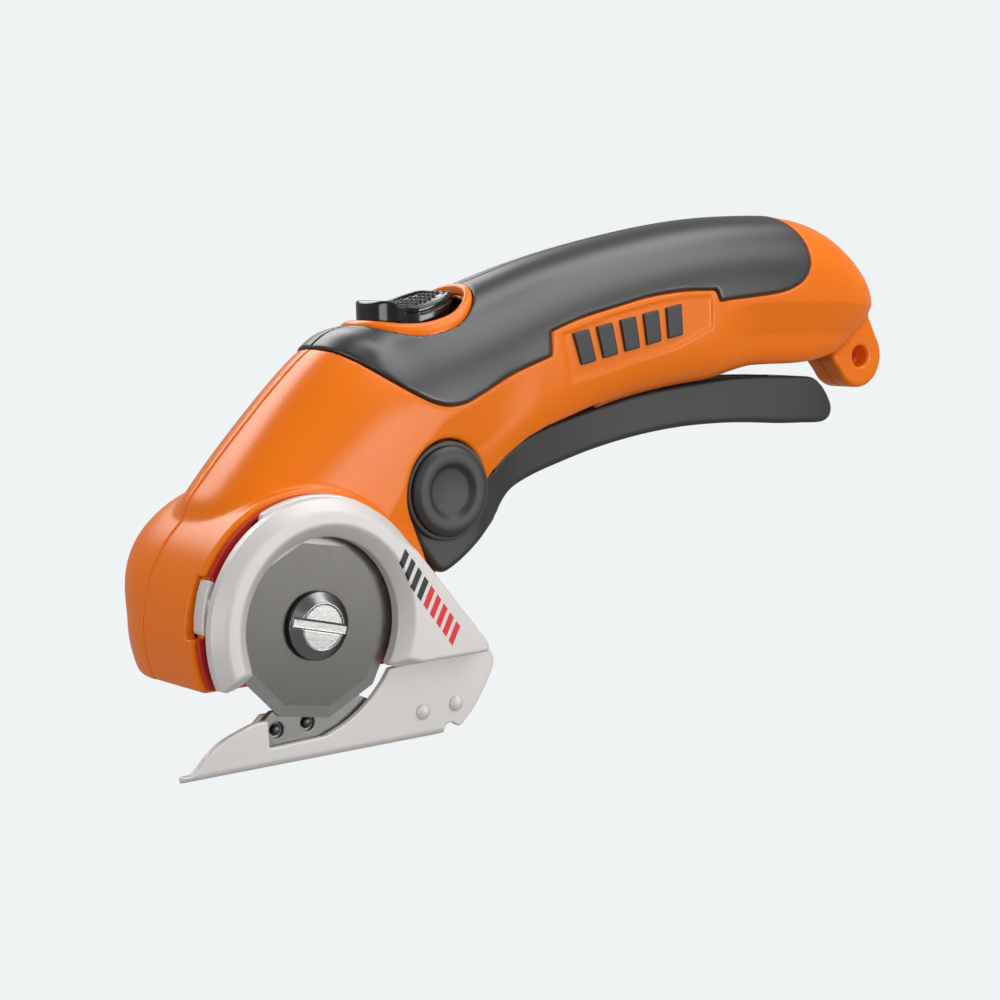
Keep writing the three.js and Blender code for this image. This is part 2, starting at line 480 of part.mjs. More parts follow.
let foot = join(prismY(FIN, FOOT_FRONT, FOOT_BACK), prismZ(FLANGE, ZB, ZB + 1.6),
  prismY([[-16.5, ZB], [12.0, ZB], [12.0, -22.5], [7.0, -19.4], [-13.6, -19.4], [-16.5, -22.0]], ANVIL_BACK + GAP, ANVIL_BACK + GAP + 1.6));
foot = cut(foot, prismY(grown(anvilShape, GAP), ANVIL_FRONT - GAP, ANVIL_BACK + GAP));
const ANVIL_RIVETS = [[-11.0, -23.1], [-2.6, -22.7]];
const FOOT_RIVETS = [[28.8, -24.5], [38.6, -23.9]];
foot = cut(foot, ...ANVIL_RIVETS.map(([x, z]) => cylY(x, z, 1.3, -30, -15, 16)), ...FOOT_RIVETS.map(([x, z]) => cylY(x, z, 1.3, -30, -15, 16)),
  cylY(GUARD_SCREWS[1][0], GUARD_SCREWS[1][1], 1.6, -30, -15, 12));
const anvil = cut(prismY(anvilShape, ANVIL_FRONT, ANVIL_BACK), ...ANVIL_RIVETS.map(([x, z]) => cylY(x, z, 1.3, -30, -15, 16)));

// guard: a deep arch with a chamber for the blade and a seat over the foot
let guard = prismY(guardOutline(), GUARD_FRONT, GUARD_BACK);
// slope off the outer front edge
const bevelCut = (() => {
  // conical front edge over the arch: radius 27.4 on the face, 30.3 three millimetres back
  const prof = [[27.4, GUARD_FRONT], [27.4, GUARD_FRONT - 1], [36, GUARD_FRONT - 1], [36, GUARD_FRONT + 3.0], [30.3, GUARD_FRONT + 3.0], [27.4, GUARD_FRONT]];
  return turned(prof, 0, 0, 44);
})();
guard = cut(guard, both(bevelCut, join(box(-40, 18.6, -40, -10, -40, 40), box(-40, 24, -40, -10, 18.4, 40))));
// window bevel
guard = cut(guard, turned([[0, GUARD_FRONT - 1], [WINDOW_R + 3.1, GUARD_FRONT - 1], [WINDOW_R + 3.1, GUARD_FRONT], [WINDOW_R, GUARD_FRONT + 2.6], [0, GUARD_FRONT + 2.6], [0, GUARD_FRONT - 1]].map((p) => p), 0, 0, 40));
guard = cut(guard, cylY(0, 0, 25.0, -25.2, -20, 40));
guard = cut(guard, prismY([[22.6, -16.0], [22.6, 14.0], [28.0, 12.5], [35.0, 8.0], [60.0, -4.0], [60.0, -20.0], [22.6, -20.0]], FOOT_FRONT - GAP, -20));
// locating tab reaching over the nose
guard = join(guard, prismY([[-29.5, 1.0], [-31.4, 2.0], [-31.0, 6.0], [-29.4, 12.4], [-28.2, 13.4], [-27.0, 12.0], [-29.0, 6.0]], -26.6, -19.9));
for (const [x, z] of GUARD_SCREWS) guard = cut(guard, cylY(x, z, 1.35, -27.6, -20, 12));

const blade = (() => {
  const pts = [];
  for (let k = 0; k < BLADE_SIDES; k++) {
    const a = ((242.2 + k * 36) * Math.PI) / 180;
    pts.push([BLADE_R * Math.cos(a), BLADE_R * Math.sin(a)]);
  }
  const flat = prismY(pts, BLADE_Y - BLADE_T / 2, BLADE_Y + BLADE_T / 2);
  // ground edge on the outer face
  const tool = turned([[0, BLADE_Y + 2], [0, BLADE_Y - BLADE_T / 2], [19.2, BLADE_Y - BLADE_T / 2], [23.2, BLADE_Y + BLADE_T / 2 - 0.12], [23.2, BLADE_Y + 2], [0, BLADE_Y + 2]], 0, 0, BLADE_SIDES * 2);
  return cut(both(flat, tool), cylY(0, 0, 4.2, -30, -20, 28));
})();

// spindle with the blade flange and pilot, bored for the blade screw
const spindle = cut(turned([[0, -24.75], [3.9, -24.75], [3.9, -23.4], [8.1, -23.4], [8.1, -22.5], [4.2, -22.5], [4.2, -19.2], [3.0, -19.2], [3.0, -3.4], [0, -3.4]], 0, 0, 24),
  cylY(0, 0, 1.8, -30, -9, 20));
let screw = turned([[0, -24.85], [8.0, -24.85], [8.15, -25.3], [6.2, -27.3], [5.2, -27.6], [0, -27.6]].map((p) => p), 0, 0, 40);
screw = join(screw, cylY(0, 0, 1.5, -25.2, -11, 20));
screw = cut(screw, (() => { const g = new THREE.BoxGeometry(18, 2.2, 1.9); g.rotateY((14 * Math.PI) / 180); g.translate(0, -27.2, 0); return solid(g); })());

// ---------------------------------------------------------------- drive
const M_FACE = 0.5, Z_PIN = 8, Z_FACE = 32;
const M_PL = 0.45, Z_SUN = 12, Z_PLANET = 15, Z_RING = 42;
const outputGear = (() => {
  const parts = [];
  let g = cut(turned([[0, -7.2], [5.0, -7.2], [5.0, -6.0], [9.25, -6.0], [9.25, -2.85], [6.8, -2.85], [6.8, -3.6], [0, -3.6]], 0, 0, 32), cylY(0, 0, 3.3, -10, 0, 28));
  for (let k = 0; k < Z_FACE; k++) {
    const a = (k * 2 * Math.PI) / Z_FACE;
    const hw = 0.19 * M_FACE * Math.PI;          // half thickness at the pitch line
    const s = new THREE.Shape([[-hw * 1.3, -3.0], [hw * 1.3, -3.0], [hw * 0.6, -1.65], [-hw * 0.6, -1.65]].map((p) => new THREE.Vector2(p[0], p[1])));
    const t = new THREE.ExtrudeGeometry(s, { depth: 2.2, bevelEnabled: false });
    t.translate(0, 0, 6.95);            // tooth runs along +Z, profile in x (tangential) and y
    t.rotateY(Math.PI / 2 - UA);        // onto the motor axis direction
    t.rotateY(a);
    g = g.add(solid(t));
  }
  return g;
})();
const pinion = onMotorAxis(cut(extrudeXY(gearOutline(Z_PIN, M_FACE, -Math.PI / 2 + Math.PI / Z_PIN, 0.40, 0.8, 1.1), 6.7, 9.7), cylM(1.0, 5, 20, 12)));
const r0 = 13.5;                       // front of the gearbox along the motor axis
const ringGear = onMotorAxis((() => {
  let g = cylM(11.4, r0, r0 + 11.2, 40);
  g = cut(g, cylM(9.1, r0 + 1.4, r0 + 4.6, 32), cylM(2.4, r0 - 1, r0 + 3, 20));
  // internal teeth: the hole is a gear outline whose gaps are the ring's teeth
  const hole = gearOutline(Z_RING, M_PL, 0, 0.58, 1.15, 0.72, 2);
  g = cut(g, extrudeXY(hole, r0 + 4.5, r0 + 12));
  return g;
})());
const PR = ((Z_SUN + Z_PLANET) * M_PL) / 2;
const carrier = onMotorAxis((() => {
  let g = join(cylM(8.4, r0 + 2.0, r0 + 4.2, 32), cylM(2.1, r0 - 2.4, r0 + 2.2, 20), cylM(0.75, 6.8, r0 - 2, 12));
  for (let k = 0; k < 3; k++) {
    const a = (k * 2 * Math.PI) / 3;
    const p = cylM(1.0, r0 + 4.0, r0 + 9.0, 14).translate([PR * Math.cos(a), PR * Math.sin(a), 0]);
    g = g.add(p);
  }
  return g;
})());
const planets = [0, 1, 2].map((k) => {
  const a = (k * 2 * Math.PI) / 3;
  // a tooth gap faces the sun's tooth and a tooth faces the ring's gap
  const ph = a + Math.PI + Math.PI / Z_PLANET + (a * Z_SUN) / Z_PLANET * -1;
  let g = extrudeXY(gearOutline(Z_PLANET, M_PL, ph, 0.42, 0.8, 1.1), r0 + 4.8, r0 + 8.6);
  g = cut(g, cylM(1.3, r0 + 4, r0 + 10, 14));
  return onMotorAxis(g.translate([PR * Math.cos(a), PR * Math.sin(a), 0]));
});
const sun = onMotorAxis(cut(extrudeXY(gearOutline(Z_SUN, M_PL, 0, 0.42, 0.8, 1.1), r0 + 4.8, r0 + 8.8), cylM(1.15, r0, r0 + 12, 14)));
const m0 = r0 + 11.5;                  // motor front face
const motorCan = onMotorAxis(cut(join(cylM(MOTOR_R, m0, m0 + 29, 36)), cylM(MOTOR_R - 1, m0 + 1.2, m0 + 30, 32), cylM(1.5, m0 - 1, m0 + 3, 16)));
const motorCap = onMotorAxis(cut(cylM(MOTOR_R - 1.3, m0 + 26.6, m0 + 29.6, 32), cylM(1.5, m0 + 20, m0 + 28.4, 16)));
const rotor = onMotorAxis(join(cylM(0.85, r0 + 5.0, m0 + 28.1, 14), cylM(7.6, m0 + 4.5, m0 + 19, 24), cylM(3.4, m0 + 18.5, m0 + 24, 18)));
const magnet = (s) => onMotorAxis(both(cut(cylM(9.6, m0 + 3.0, m0 + 21.0, 32), cylM(8.1, m0 + 2, m0 + 22, 32)), (() => {
  const g = new THREE.BoxGeometry(14, 12, 40); g.translate(0, s * 9.4, m0 + 12); return solid(g);
})()));

// ---------------------------------------------------------------- power and control
const cellAxis = [[98.5, 62.4], [163.5, 69.6]];
const cellLen = Math.hypot(cellAxis[1][0] - cellAxis[0][0], cellAxis[1][1] - cellAxis[0][1]);
const cellAngle = Math.atan2(cellAxis[1][1] - cellAxis[0][1], cellAxis[1][0] - cellAxis[0][0]);
function alongCell(r, a, b, seg = 32) {
  const g = new THREE.CylinderGeometry(r, r, b - a, seg);
  g.rotateZ(-Math.PI / 2);
  g.translate((a + b) / 2, 0, 0);
  g.rotateY(-cellAngle);
  g.translate(cellAxis[0][0], 0, cellAxis[0][1]);
  return solid(g);
}
const cell = join(alongCell(CELL_R, 0, CELL_L - 1.2), alongCell(3.0, CELL_L - 2, CELL_L, 20));
const tabBox = (a, b, w, h) => {
  const g = new THREE.BoxGeometry(b - a, w, h);
  g.translate((a + b) / 2, 0, 0);
  g.rotateY(-cellAngle);
  g.translate(cellAxis[0][0], 0, cellAxis[0][1]);
  return solid(g);
};
const tabFront = tabBox(-0.9, -0.3, 6, 12), tabRear = tabBox(CELL_L + 0.3, CELL_L + 0.9, 6, 10);
const board = box(62, 92, -9, 9, 60.6, 62.2);
const jack = (() => { const g = new THREE.CylinderGeometry(2.9, 2.9, 11, 24); g.rotateZ(Math.PI / 2); g.translate(196.5, 0, 64.5); const h = new THREE.CylinderGeometry(1.6, 1.6, 9, 16); h.rotateZ(Math.PI / 2); h.translate(199.5, 0, 64.5); return cut(solid(g), solid(h)); })();
// micro switch above the lever, with its plunger through the roof of the slot
const SWX = 74.5;
const microswitch = cut(box(SWX - 6.4, SWX + 6.4, -3, 3, 45.6, 52.0), box(SWX - 1.5, SWX + 1.5, -1.5, 1.5, 40, 49.9));
const plunger = box(SWX - 1.15, SWX + 1.15, -1.15, 1.15, 38.75, 47.0);

const wire = (pts, r) => {
  const c = new THREE.CatmullRomCurve3(pts.map((p) => new THREE.Vector3(...p)));
  const s = new THREE.Shape();
  for (let k = 0; k < 4; k++) { const a = (k * Math.PI) / 2; k ? s.lineTo(r * Math.cos(a), r * Math.sin(a)) : s.moveTo(r, 0); }
  return new THREE.ExtrudeGeometry(s, { steps: 12, extrudePath: c, bevelEnabled: false });
};
const leadRed = solid(wire([[38.6, -4.5, 52.6], [44, -5.5, 57.5], [54, -6.0, 58.6], [64, -6, 58.0], [72, -6, 59.8]], 0.55));
const leadBlack = solid(wire([[38.6, 4.5, 52.6], [44, 5.5, 57.5], [54, 6.0, 58.6], [64, 6, 58.0], [72, 6, 59.8]], 0.55));

// plunger hole through the roof
const plungerHole = box(SWX - 1.5, SWX + 1.5, -1.5, 1.5, 36, 46);

// return spring between the lever and the roof of its slot
const spring = (() => {
  const turns = 3.5, r = 3.0, x = 100, z0 = 40.3, z1 = 46.6;
  class Helix extends THREE.Curve {
    getPoint(t, out = new THREE.Vector3()) {
      const a = t * turns * 2 * Math.PI;
      return out.set(x + r * Math.cos(a), r * Math.sin(a), z0 + 0.5 + (z1 - z0 - 1) * t);
    }
  }
  const s = new THREE.Shape();
  for (let k = 0; k < 4; k++) { const a = (k * Math.PI) / 2; k ? s.lineTo(0.4 * Math.cos(a), 0.4 * Math.sin(a)) : s.moveTo(0.4, 0); }
  return solid(new THREE.ExtrudeGeometry(s, { steps: Math.round(turns * 10), extrudePath: new Helix(), bevelEnabled: false }));
})();

// badge: slanted bars standing on a thin plate let into the side
function badge(s) {
  const face = (inA, inB) => cut(bodyLoft(inA), bodyLoft(inB));
  const slab = (pts) => prismY(pts, s < 0 ? -30 : 14.4, s < 0 ? -14.4 : 30);
  let g = both(slab(BADGE), face(0.45, 1.0));
  for (let k = 0; k < 4; k++) {
    const f0 = (k + 0.08) / 4, f1 = (k + 0.78) / 4;
    const lerp = (a, b, t) => [a[0] + (b[0] - a[0]) * t, a[1] + (b[1] - a[1]) * t];
    const q = [lerp(BADGE[0], BADGE[1], f0), lerp(BADGE[0], BADGE[1], f1), lerp(BADGE[3], BADGE[2], f1), lerp(BADGE[3], BADGE[2], f0)];
    g = g.add(both(slab(q), face(-0.5, 0.8)));
  }
  return g;
}

// ---------------------------------------------------------------- scene graph
// the main body of a cut solid, with slivers below TIDY removed
const TIDY = 0.05;
const mainBody = (m) => m.decompose().reduce((a, b) => (b.volume() > a.volume() ? b : a)).simplify(TIDY);
const model = new THREE.Group();
model.name = 'rotary_cutter';
function put(name, shape, material) {
  const g = shape instanceof THREE.BufferGeometry ? shape : toGeometry(shape);
  g.translate(0, SEAM_Y, AXIS_HEIGHT);
  const m = new THREE.Mesh(g, material);
  m.name = name;
  model.add(m);
}
const leftFinal = mainBody(cut(housingLeft, prismY(TAB_NOTCH, -24, -19.5), plungerHole));
const rightFinal = mainBody(cut(housingRight, plungerHole));
put('housing_left', leftFinal, ORANGE());
put('housing_right', rightFinal, ORANGE());
put('grip_left', mainBody(gripLeft), SOFT());
put('grip_right', mainBody(gripRight), SOFT());
put('slider_bezel', mainBody(bezel), ORANGE());
put('lock_slider', slider, BLACK());
put('trigger_lever', mainBody(lever), DARK());
put('pivot_cap_left', cap(-1), DARK());
put('pivot_cap_right', cap(1), DARK());
put('lever_spring', spring, STEEL());
put('side_badge_left', mainBody(badge(-1)), mat(0x262627, 0.5));
put('side_badge_right', mainBody(badge(1)), mat(0x262627, 0.5));
put('blade_guard', mainBody(guard), SILVER());
put('backing_plate', redPlate, RED());
put('cutting_blade', blade, STEEL());
put('blade_screw', screw, CHROME());
put('output_spindle', spindle, STEEL());
put('spindle_bearing_front', ringY(0, 0, 6.5, 3.3, -18.9, -14.9, 24), CAN());
put('spindle_bearing_rear', ringY(0, 0, 6.5, 3.3, -12.4, -8.4, 24), CAN());
put('output_gear', outputGear, NYLON());
put('drive_pinion', pinion, BRASS());
put('gearbox_ring', ringGear, NYLON());
put('planet_carrier', carrier, STEEL());
planets.forEach((p, k) => put(`planet_gear_${k + 1}`, p, NYLON()));
put('sun_gear', sun, BRASS());
put('motor_can', motorCan, CAN());
put('motor_end_cap', motorCap, BLACK());
put('motor_rotor', rotor, STEEL());
put('motor_magnet_a', magnet(1), DARK());
put('motor_magnet_b', magnet(-1), DARK());
put('foot_plate', foot, SILVER());
put('anvil_blade', anvil, STEEL());
ANVIL_RIVETS.forEach(([x, z], k) => put(`anvil_rivet_${k + 1}`, turned([[0, ANVIL_FRONT], [1.0, ANVIL_FRONT], [1.0, ANVIL_BACK + 2.3], [0, ANVIL_BACK + 2.3]], x, z, 12), SILVER()));
FOOT_RIVETS.forEach(([x, z], k) => put(`foot_rivet_${k + 1}`, turned([[0, FOOT_FRONT - 1.1], [1.1, FOOT_FRONT - 0.9], [1.9, FOOT_FRONT - 0.2], [1.0, FOOT_FRONT - 0.2], [1.0, FOOT_BACK + 0.3], [0, FOOT_BACK + 0.3]], x, z, 12), SILVER()));
GUARD_SCREWS.forEach(([x, z], k) => put(`guard_screw_${k + 1}`, turned([[0, -27.2], [1.05, -27.2], [1.05, NEAR_FACE + WALL + 0.2], [2.6, NEAR_FACE + WALL + 0.2], [2.6, NEAR_FACE + WALL + 2.0], [0, NEAR_FACE + WALL + 2.0]], x, z, 12), STEEL()));
screwData.forEach((s, k) => put(`housing_screw_${k + 1}`, cut(turned([[0, -10.6], [1.3, -10.6], [1.3, s.head + 0.25], [2.55, s.head + 0.25], [2.55, s.head + 2.2], [0, s.head + 2.2]], s.x, s.z, 12),
  cylY(s.x, s.z, 1.1, s.head + 1.0, 40, 6)), STEEL()));
put('battery_cell', cell, mat(0x2f6fb5, 0.45));
put('battery_tab_front', tabFront, CAN());
put('battery_tab_rear', tabRear, CAN());
put('circuit_board', board, mat(0x2f7a44, 0.5));
put('charging_jack', jack, BLACK());
put('micro_switch', microswitch, BLACK());
put('switch_plunger', plunger, RED());
put('motor_lead_red', leadRed, RED());
put('motor_lead_black', leadBlack, BLACK());

export default model;
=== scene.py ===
import json
import math

import bpy
import numpy as np
from mathutils import Matrix, Vector


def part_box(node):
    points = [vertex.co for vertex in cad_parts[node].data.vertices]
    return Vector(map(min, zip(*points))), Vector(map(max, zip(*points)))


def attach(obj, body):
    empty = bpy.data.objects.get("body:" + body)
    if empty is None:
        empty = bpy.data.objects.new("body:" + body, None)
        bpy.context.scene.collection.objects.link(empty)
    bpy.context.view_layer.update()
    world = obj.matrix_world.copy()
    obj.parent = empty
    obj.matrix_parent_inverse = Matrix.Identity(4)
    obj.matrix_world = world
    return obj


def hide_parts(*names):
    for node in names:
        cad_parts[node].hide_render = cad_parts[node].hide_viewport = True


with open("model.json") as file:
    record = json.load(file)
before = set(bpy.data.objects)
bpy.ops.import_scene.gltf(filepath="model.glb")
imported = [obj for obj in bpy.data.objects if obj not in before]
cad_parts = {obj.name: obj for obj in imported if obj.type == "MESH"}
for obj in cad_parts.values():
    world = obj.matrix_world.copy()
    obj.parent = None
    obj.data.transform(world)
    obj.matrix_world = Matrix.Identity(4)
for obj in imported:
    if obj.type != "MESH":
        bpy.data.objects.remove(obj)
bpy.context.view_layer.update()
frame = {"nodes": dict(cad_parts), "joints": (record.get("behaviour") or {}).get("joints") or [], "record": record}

COARSE = 1.0

# --------------------------------------------------------------------------------------
# frame: everything below is drawn in millimetres about the blade axis (x = z = 0) and the
# seam plane (y = 0), and is moved to the row frame at the end
# --------------------------------------------------------------------------------------
JOINT = {j["name"]: j for j in frame["joints"]}
BLADE_AXIS = np.array(JOINT["blade_spin"]["pos_m"]) * 1000
PIVOT_AT = np.array(JOINT["lever_squeeze"]["pos_m"]) * 1000
OFF = np.array([BLADE_AXIS[0], PIVOT_AT[1], BLADE_AXIS[2]])
PIV = (PIVOT_AT - OFF)[[0, 2]]
SLIDE_DIR = np.array(JOINT["slider_push"]["axis"], float)


def row(p):
    return (np.asarray(p, float) + OFF) / 1000.0


# --------------------------------------------------------------------------------------
# fields
# --------------------------------------------------------------------------------------
f32 = np.float32


class Grid:
    def __init__(self, lo, hi, h):
        h = h * COARSE
        self.h = h
        self.lo = np.array(lo, float)
        n = [int(math.ceil((hi[k] - lo[k]) / h)) + 1 for k in range(3)]
        self.n = n
        self.x, self.y, self.z = [(lo[k] + h * np.arange(n[k])).astype(f32) for k in range(3)]
        self.X2 = self.x[:, None] + 0 * self.z[None, :]
        self.Z2 = self.z[None, :] + 0 * self.x[:, None]
        self.XY = (self.x[:, None] + 0 * self.y[None, :], self.y[None, :] + 0 * self.x[:, None])
        self.X, self.Y, self.Z = self.x[:, None, None], self.y[None, :, None], self.z[None, None, :]

    def side(self, a2):
        """a field on (x, z), seen as a 3-D one"""
        return a2[:, None, :]

    def plan(self, a2):
        """a field on (x, y), seen as a 3-D one"""
        return a2[:, :, None]


def rmax(a, b, r):
    """intersection with the outer edge rounded to radius r"""
    return np.minimum(np.maximum(a, b), -r) + np.hypot(np.maximum(a + r, 0), np.maximum(b + r, 0))


def rmin(a, b, r):
    """union with the inner corner filled to radius r"""
    return np.maximum(np.minimum(a, b), r) - np.hypot(np.maximum(r - a, 0), np.maximum(r - b, 0))


def rcut(a, b, r):
    return rmax(a, -b, r)


def smooth01(t):
    t = np.clip(t, 0, 1)
    return t * t * (3 - 2 * t)


def poly(X, Z, P):
    """signed distance to a closed outline, negative inside"""
    P = np.asarray(P, float)
    d = np.full(X.shape, 1e12)
    inside = np.zeros(X.shape, bool)
    n = len(P)
    for i in range(n):
        a, b = P[i], P[i - 1]
        e = b - a
        l2 = float(e @ e)
        if l2 < 1e-12:
            continue
        wx, wz = X - a[0], Z - a[1]
        t = np.clip((wx * e[0] + wz * e[1]) / l2, 0, 1)
        d = np.minimum(d, (wx - e[0] * t) ** 2 + (wz - e[1] * t) ** 2)
        c1, c2, c3 = Z >= a[1], Z < b[1], e[0] * wz > e[1] * wx
        inside ^= (c1 & c2 & c3) | (~c1 & ~c2 & ~c3)
    return (np.sqrt(d) * np.where(inside, -1, 1)).astype(f32)


def polyline(X, Z, P):
    """distance to an open line, and which side of it (positive on its left)"""
    P = np.asarray(P, float)
    d = np.full(X.shape, 1e12)
    s = np.ones(X.shape)
    for i in range(len(P) - 1):
        a, b = P[i], P[i + 1]
        e = b - a
        wx, wz = X - a[0], Z - a[1]
        t = (wx * e[0] + wz * e[1]) / (e @ e)
        tc = np.clip(t, 0 if i else -50, 1 if i < len(P) - 2 else 50)
        q = (wx - e[0] * tc) ** 2 + (wz - e[1] * tc) ** 2
        m = q < d
        d = np.where(m, q, d)
        s = np.where(m, np.sign(e[0] * wz - e[1] * wx), s)
    return (np.sqrt(d)).astype(f32), s.astype(f32)


def blur(a, s):
    """softens a 2-D field by s cells"""
    if s <= 0:
        return a
    r = int(math.ceil(3 * s))
    k = np.exp(-0.5 * (np.arange(-r, r + 1) / s) ** 2)
    k /= k.sum()
    for ax in (0, 1):
        pad = [(0, 0), (0, 0)]
        pad[ax] = (r, r)
        b = np.pad(a, pad, mode="edge")
        a = sum(k[i] * np.take(b, range(i, i + a.shape[ax]), axis=ax) for i in range(2 * r + 1))
    return a.astype(f32)


def spl(points, step=0.8, closed=False):
    """smooth line through points"""
    P = np.asarray(points, float)
    n = len(P)
    out = []
    m = n if closed else n - 1
    for i in range(m):
        a = P[(i - 1) % n] if closed or i else 2 * P[0] - P[1]
        b, c = P[i % n], P[(i + 1) % n]
        d = P[(i + 2) % n] if closed or i < n - 2 else 2 * P[-1] - P[-2]
        L = np.linalg.norm(c - b)
        k = max(1, int(round(L / step)))
        # centripetal form
        t0 = 0.0
        t1 = t0 + max(np.linalg.norm(b - a), 1e-6) ** 0.5
        t2 = t1 + max(L, 1e-6) ** 0.5
        t3 = t2 + max(np.linalg.norm(d - c), 1e-6) ** 0.5
        for q in range(k):
            t = t1 + (t2 - t1) * q / k
            A1 = (t1 - t) / (t1 - t0) * a + (t - t0) / (t1 - t0) * b
            A2 = (t2 - t) / (t2 - t1) * b + (t - t1) / (t2 - t1) * c
            A3 = (t3 - t) / (t3 - t2) * c + (t - t2) / (t3 - t2) * d
            B1 = (t2 - t) / (t2 - t0) * A1 + (t - t0) / (t2 - t0) * A2
            B2 = (t3 - t) / (t3 - t1) * A2 + (t - t1) / (t3 - t1) * A3
            out.append((t2 - t) / (t2 - t1) * B1 + (t - t1) / (t2 - t1) * B2)
    if not closed:
        out.append(P[-1])
    return [list(map(float, p)) for p in out]


def arc(cx, cz, r, a0, a1, step=3.0):
    n = max(2, int(abs(a1 - a0) / step))
    return [[cx + r * math.cos(math.radians(a0 + (a1 - a0) * k / n)), cz + r * math.sin(math.radians(a0 + (a1 - a0) * k / n))] for k in range(n + 1)]


def grad_norm(F, h):
    gx, gy, gz = np.gradient(F, h)
    return np.sqrt(gx * gx + gy * gy + gz * gz)


# --------------------------------------------------------------------------------------
# surface of a field: one point in each crossed cell, four of them round each crossed edge
# --------------------------------------------------------------------------------------
def surface(F, g, polish=3):
    F = np.ascontiguousarray(F, dtype=f32)
    for ax in range(3):
        sl = [slice(None)] * 3
        for e in (0, -1):
            sl[ax] = e
            F[tuple(sl)] = np.maximum(F[tuple(sl)], 0.2)
    F[np.abs(F) < 1e-6] = 1e-6
    S = F < 0
    cnt = np.zeros(tuple(k - 1 for k in F.shape), np.uint8)
    for dx in (0, 1):
        for dy in (0, 1):
            for dz in (0, 1):
                cnt += S[dx:F.shape[0] - 1 + dx, dy:F.shape[1] - 1 + dy, dz:F.shape[2] - 1 + dz]
    act = (cnt > 0) & (cnt < 8)
    I, J, K = np.nonzero(act)
    ids = np.full(act.shape, -1, np.int32)
    ids[I, J, K] = np.arange(len(I), dtype=np.int32)
    pos = np.zeros((len(I), 3))
    num = np.zeros(len(I))
    E = np.eye(3, dtype=int)
    for ax in range(3):
        o1, o2 = [a for a in range(3) if a != ax]
        for p in (0, 1):
            for q in (0, 1):
                base = p * E[o1] + q * E[o2]
                end = base + E[ax]
                fa = F[I + base[0], J + base[1], K + base[2]]
                fb = F[I + end[0], J + end[1], K + end[2]]
                m = (fa < 0) != (fb < 0)
                t = np.where(m, fa / np.where(m, fa - fb, 1), 0)
                for k in range(3):
                    pos[:, k] += np.where(m, base[k] + (t if k == ax else 0), 0)
                num += m
    v = pos / num[:, None] + np.stack([I, J, K], 1)

    def sample(P):
        P = np.clip(P, 0.001, np.array(F.shape) - 1.001)
        i = np.floor(P).astype(np.int64)
        t = P - i
        out = 0
        for dx in (0, 1):
            for dy in (0, 1):
                for dz in (0, 1):
                    w = (t[:, 0] if dx else 1 - t[:, 0]) * (t[:, 1] if dy else 1 - t[:, 1]) * (t[:, 2] if dz else 1 - t[:, 2])
                    out = out + w * F[i[:, 0] + dx, i[:, 1] + dy, i[:, 2] + dz]
        return out

    home = v.copy()
    for _ in range(polish):
        f = sample(v)
        gr = np.stack([(sample(v + 0.5 * E[k]) - sample(v - 0.5 * E[k])) for k in range(3)], 1)
        g2 = (gr * gr).sum(1)
        step = -f[:, None] * gr / np.maximum(g2, 1e-6)[:, None]
        L = np.linalg.norm(step, axis=1)
        step *= np.minimum(1, 0.35 / np.maximum(L, 1e-9))[:, None]
        v = v + step
        v = home + np.clip(v - home, -0.6, 0.6)
    quads = []
    for ax in range(3):
        o1, o2 = [(1, 2), (2, 0), (0, 1)][ax]
        sl0 = [slice(None)] * 3
        sl1 = [slice(None)] * 3
        sl0[ax] = slice(0, -1)
        sl1[ax] = slice(1, None)
        A, B = S[tuple(sl0)], S[tuple(sl1)]
        for flip, mask in ((False, A & ~B), (True, ~A & B)):
            i, j, k = np.nonzero(mask)
            P = np.stack([i, j, k], 1)
            ok = (P[:, o1] > 0) & (P[:, o2] > 0) & (P[:, o1] < F.shape[o1] - 1) & (P[:, o2] < F.shape[o2] - 1)
            P = P[ok]
            c = [P - E[o1] - E[o2], P - E[o2], P, P - E[o1]]
            q = np.stack([ids[x[:, 0], x[:, 1], x[:, 2]] for x in c], 1)
            if flip:
                q = q[:, ::-1]
            quads.append(q)
    q = np.concatenate(quads)
    verts = g.lo + v * g.h
    return verts, q


def islands(n, q):
    lab = np.arange(n)
    while True:
        m = lab[q].min(1)
        new = lab.copy()
        for k in range(q.shape[1]):
            np.minimum.at(new, q[:, k], m)
        new = new[new]
        if (new == lab).all():
            return lab
        lab = new


def tidy(v, q, keep_over=40):
    """drops loose crumbs smaller than keep_over faces"""
    lab = islands(len(v), q)
    ids, inv, count = np.unique(lab[q[:, 0]], return_inverse=True, return_counts=True)
    q = q[count[inv] >= keep_over]
    used = np.unique(q)
    remap = np.full(len(v), -1)
    remap[used] = np.arange(len(used))
    return v[used], remap[q]


def mesh_object(name, verts, faces, mat, body, replaces=(), smooth=True, sharp=None):
    me = bpy.data.meshes.new(name)
    verts = row(verts)
    if isinstance(faces, np.ndarray):
        k = faces.shape[1]
        me.vertices.add(len(verts))
        me.vertices.foreach_set("co", np.ascontiguousarray(verts, dtype=f32).ravel())
        me.loops.add(faces.size)
        me.loops.foreach_set("vertex_index", np.ascontiguousarray(faces, dtype=np.int32).ravel())
        me.polygons.add(len(faces))
        me.polygons.foreach_set("loop_start", np.arange(0, faces.size, k, dtype=np.int32))
        me.polygons.foreach_set("loop_total", np.full(len(faces), k, dtype=np.int32))
        me.update(calc_edges=True)
    else:
        me.from_pydata([tuple(p) for p in verts], [], faces)
        me.update()
    me.validate()
    if smooth:
        me.polygons.foreach_set("use_smooth", np.ones(len(me.polygons), dtype=bool))
        if sharp is not None:
            me.set_sharp_from_angle(angle=math.radians(sharp))
    ob = bpy.data.objects.new(name, me)
    bpy.context.scene.collection.objects.link(ob)
    for m in mat if isinstance(mat, (list, tuple)) else [mat]:
        me.materials.append(m)
    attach(ob, body)
    if replaces:
        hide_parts(*replaces)
    return ob


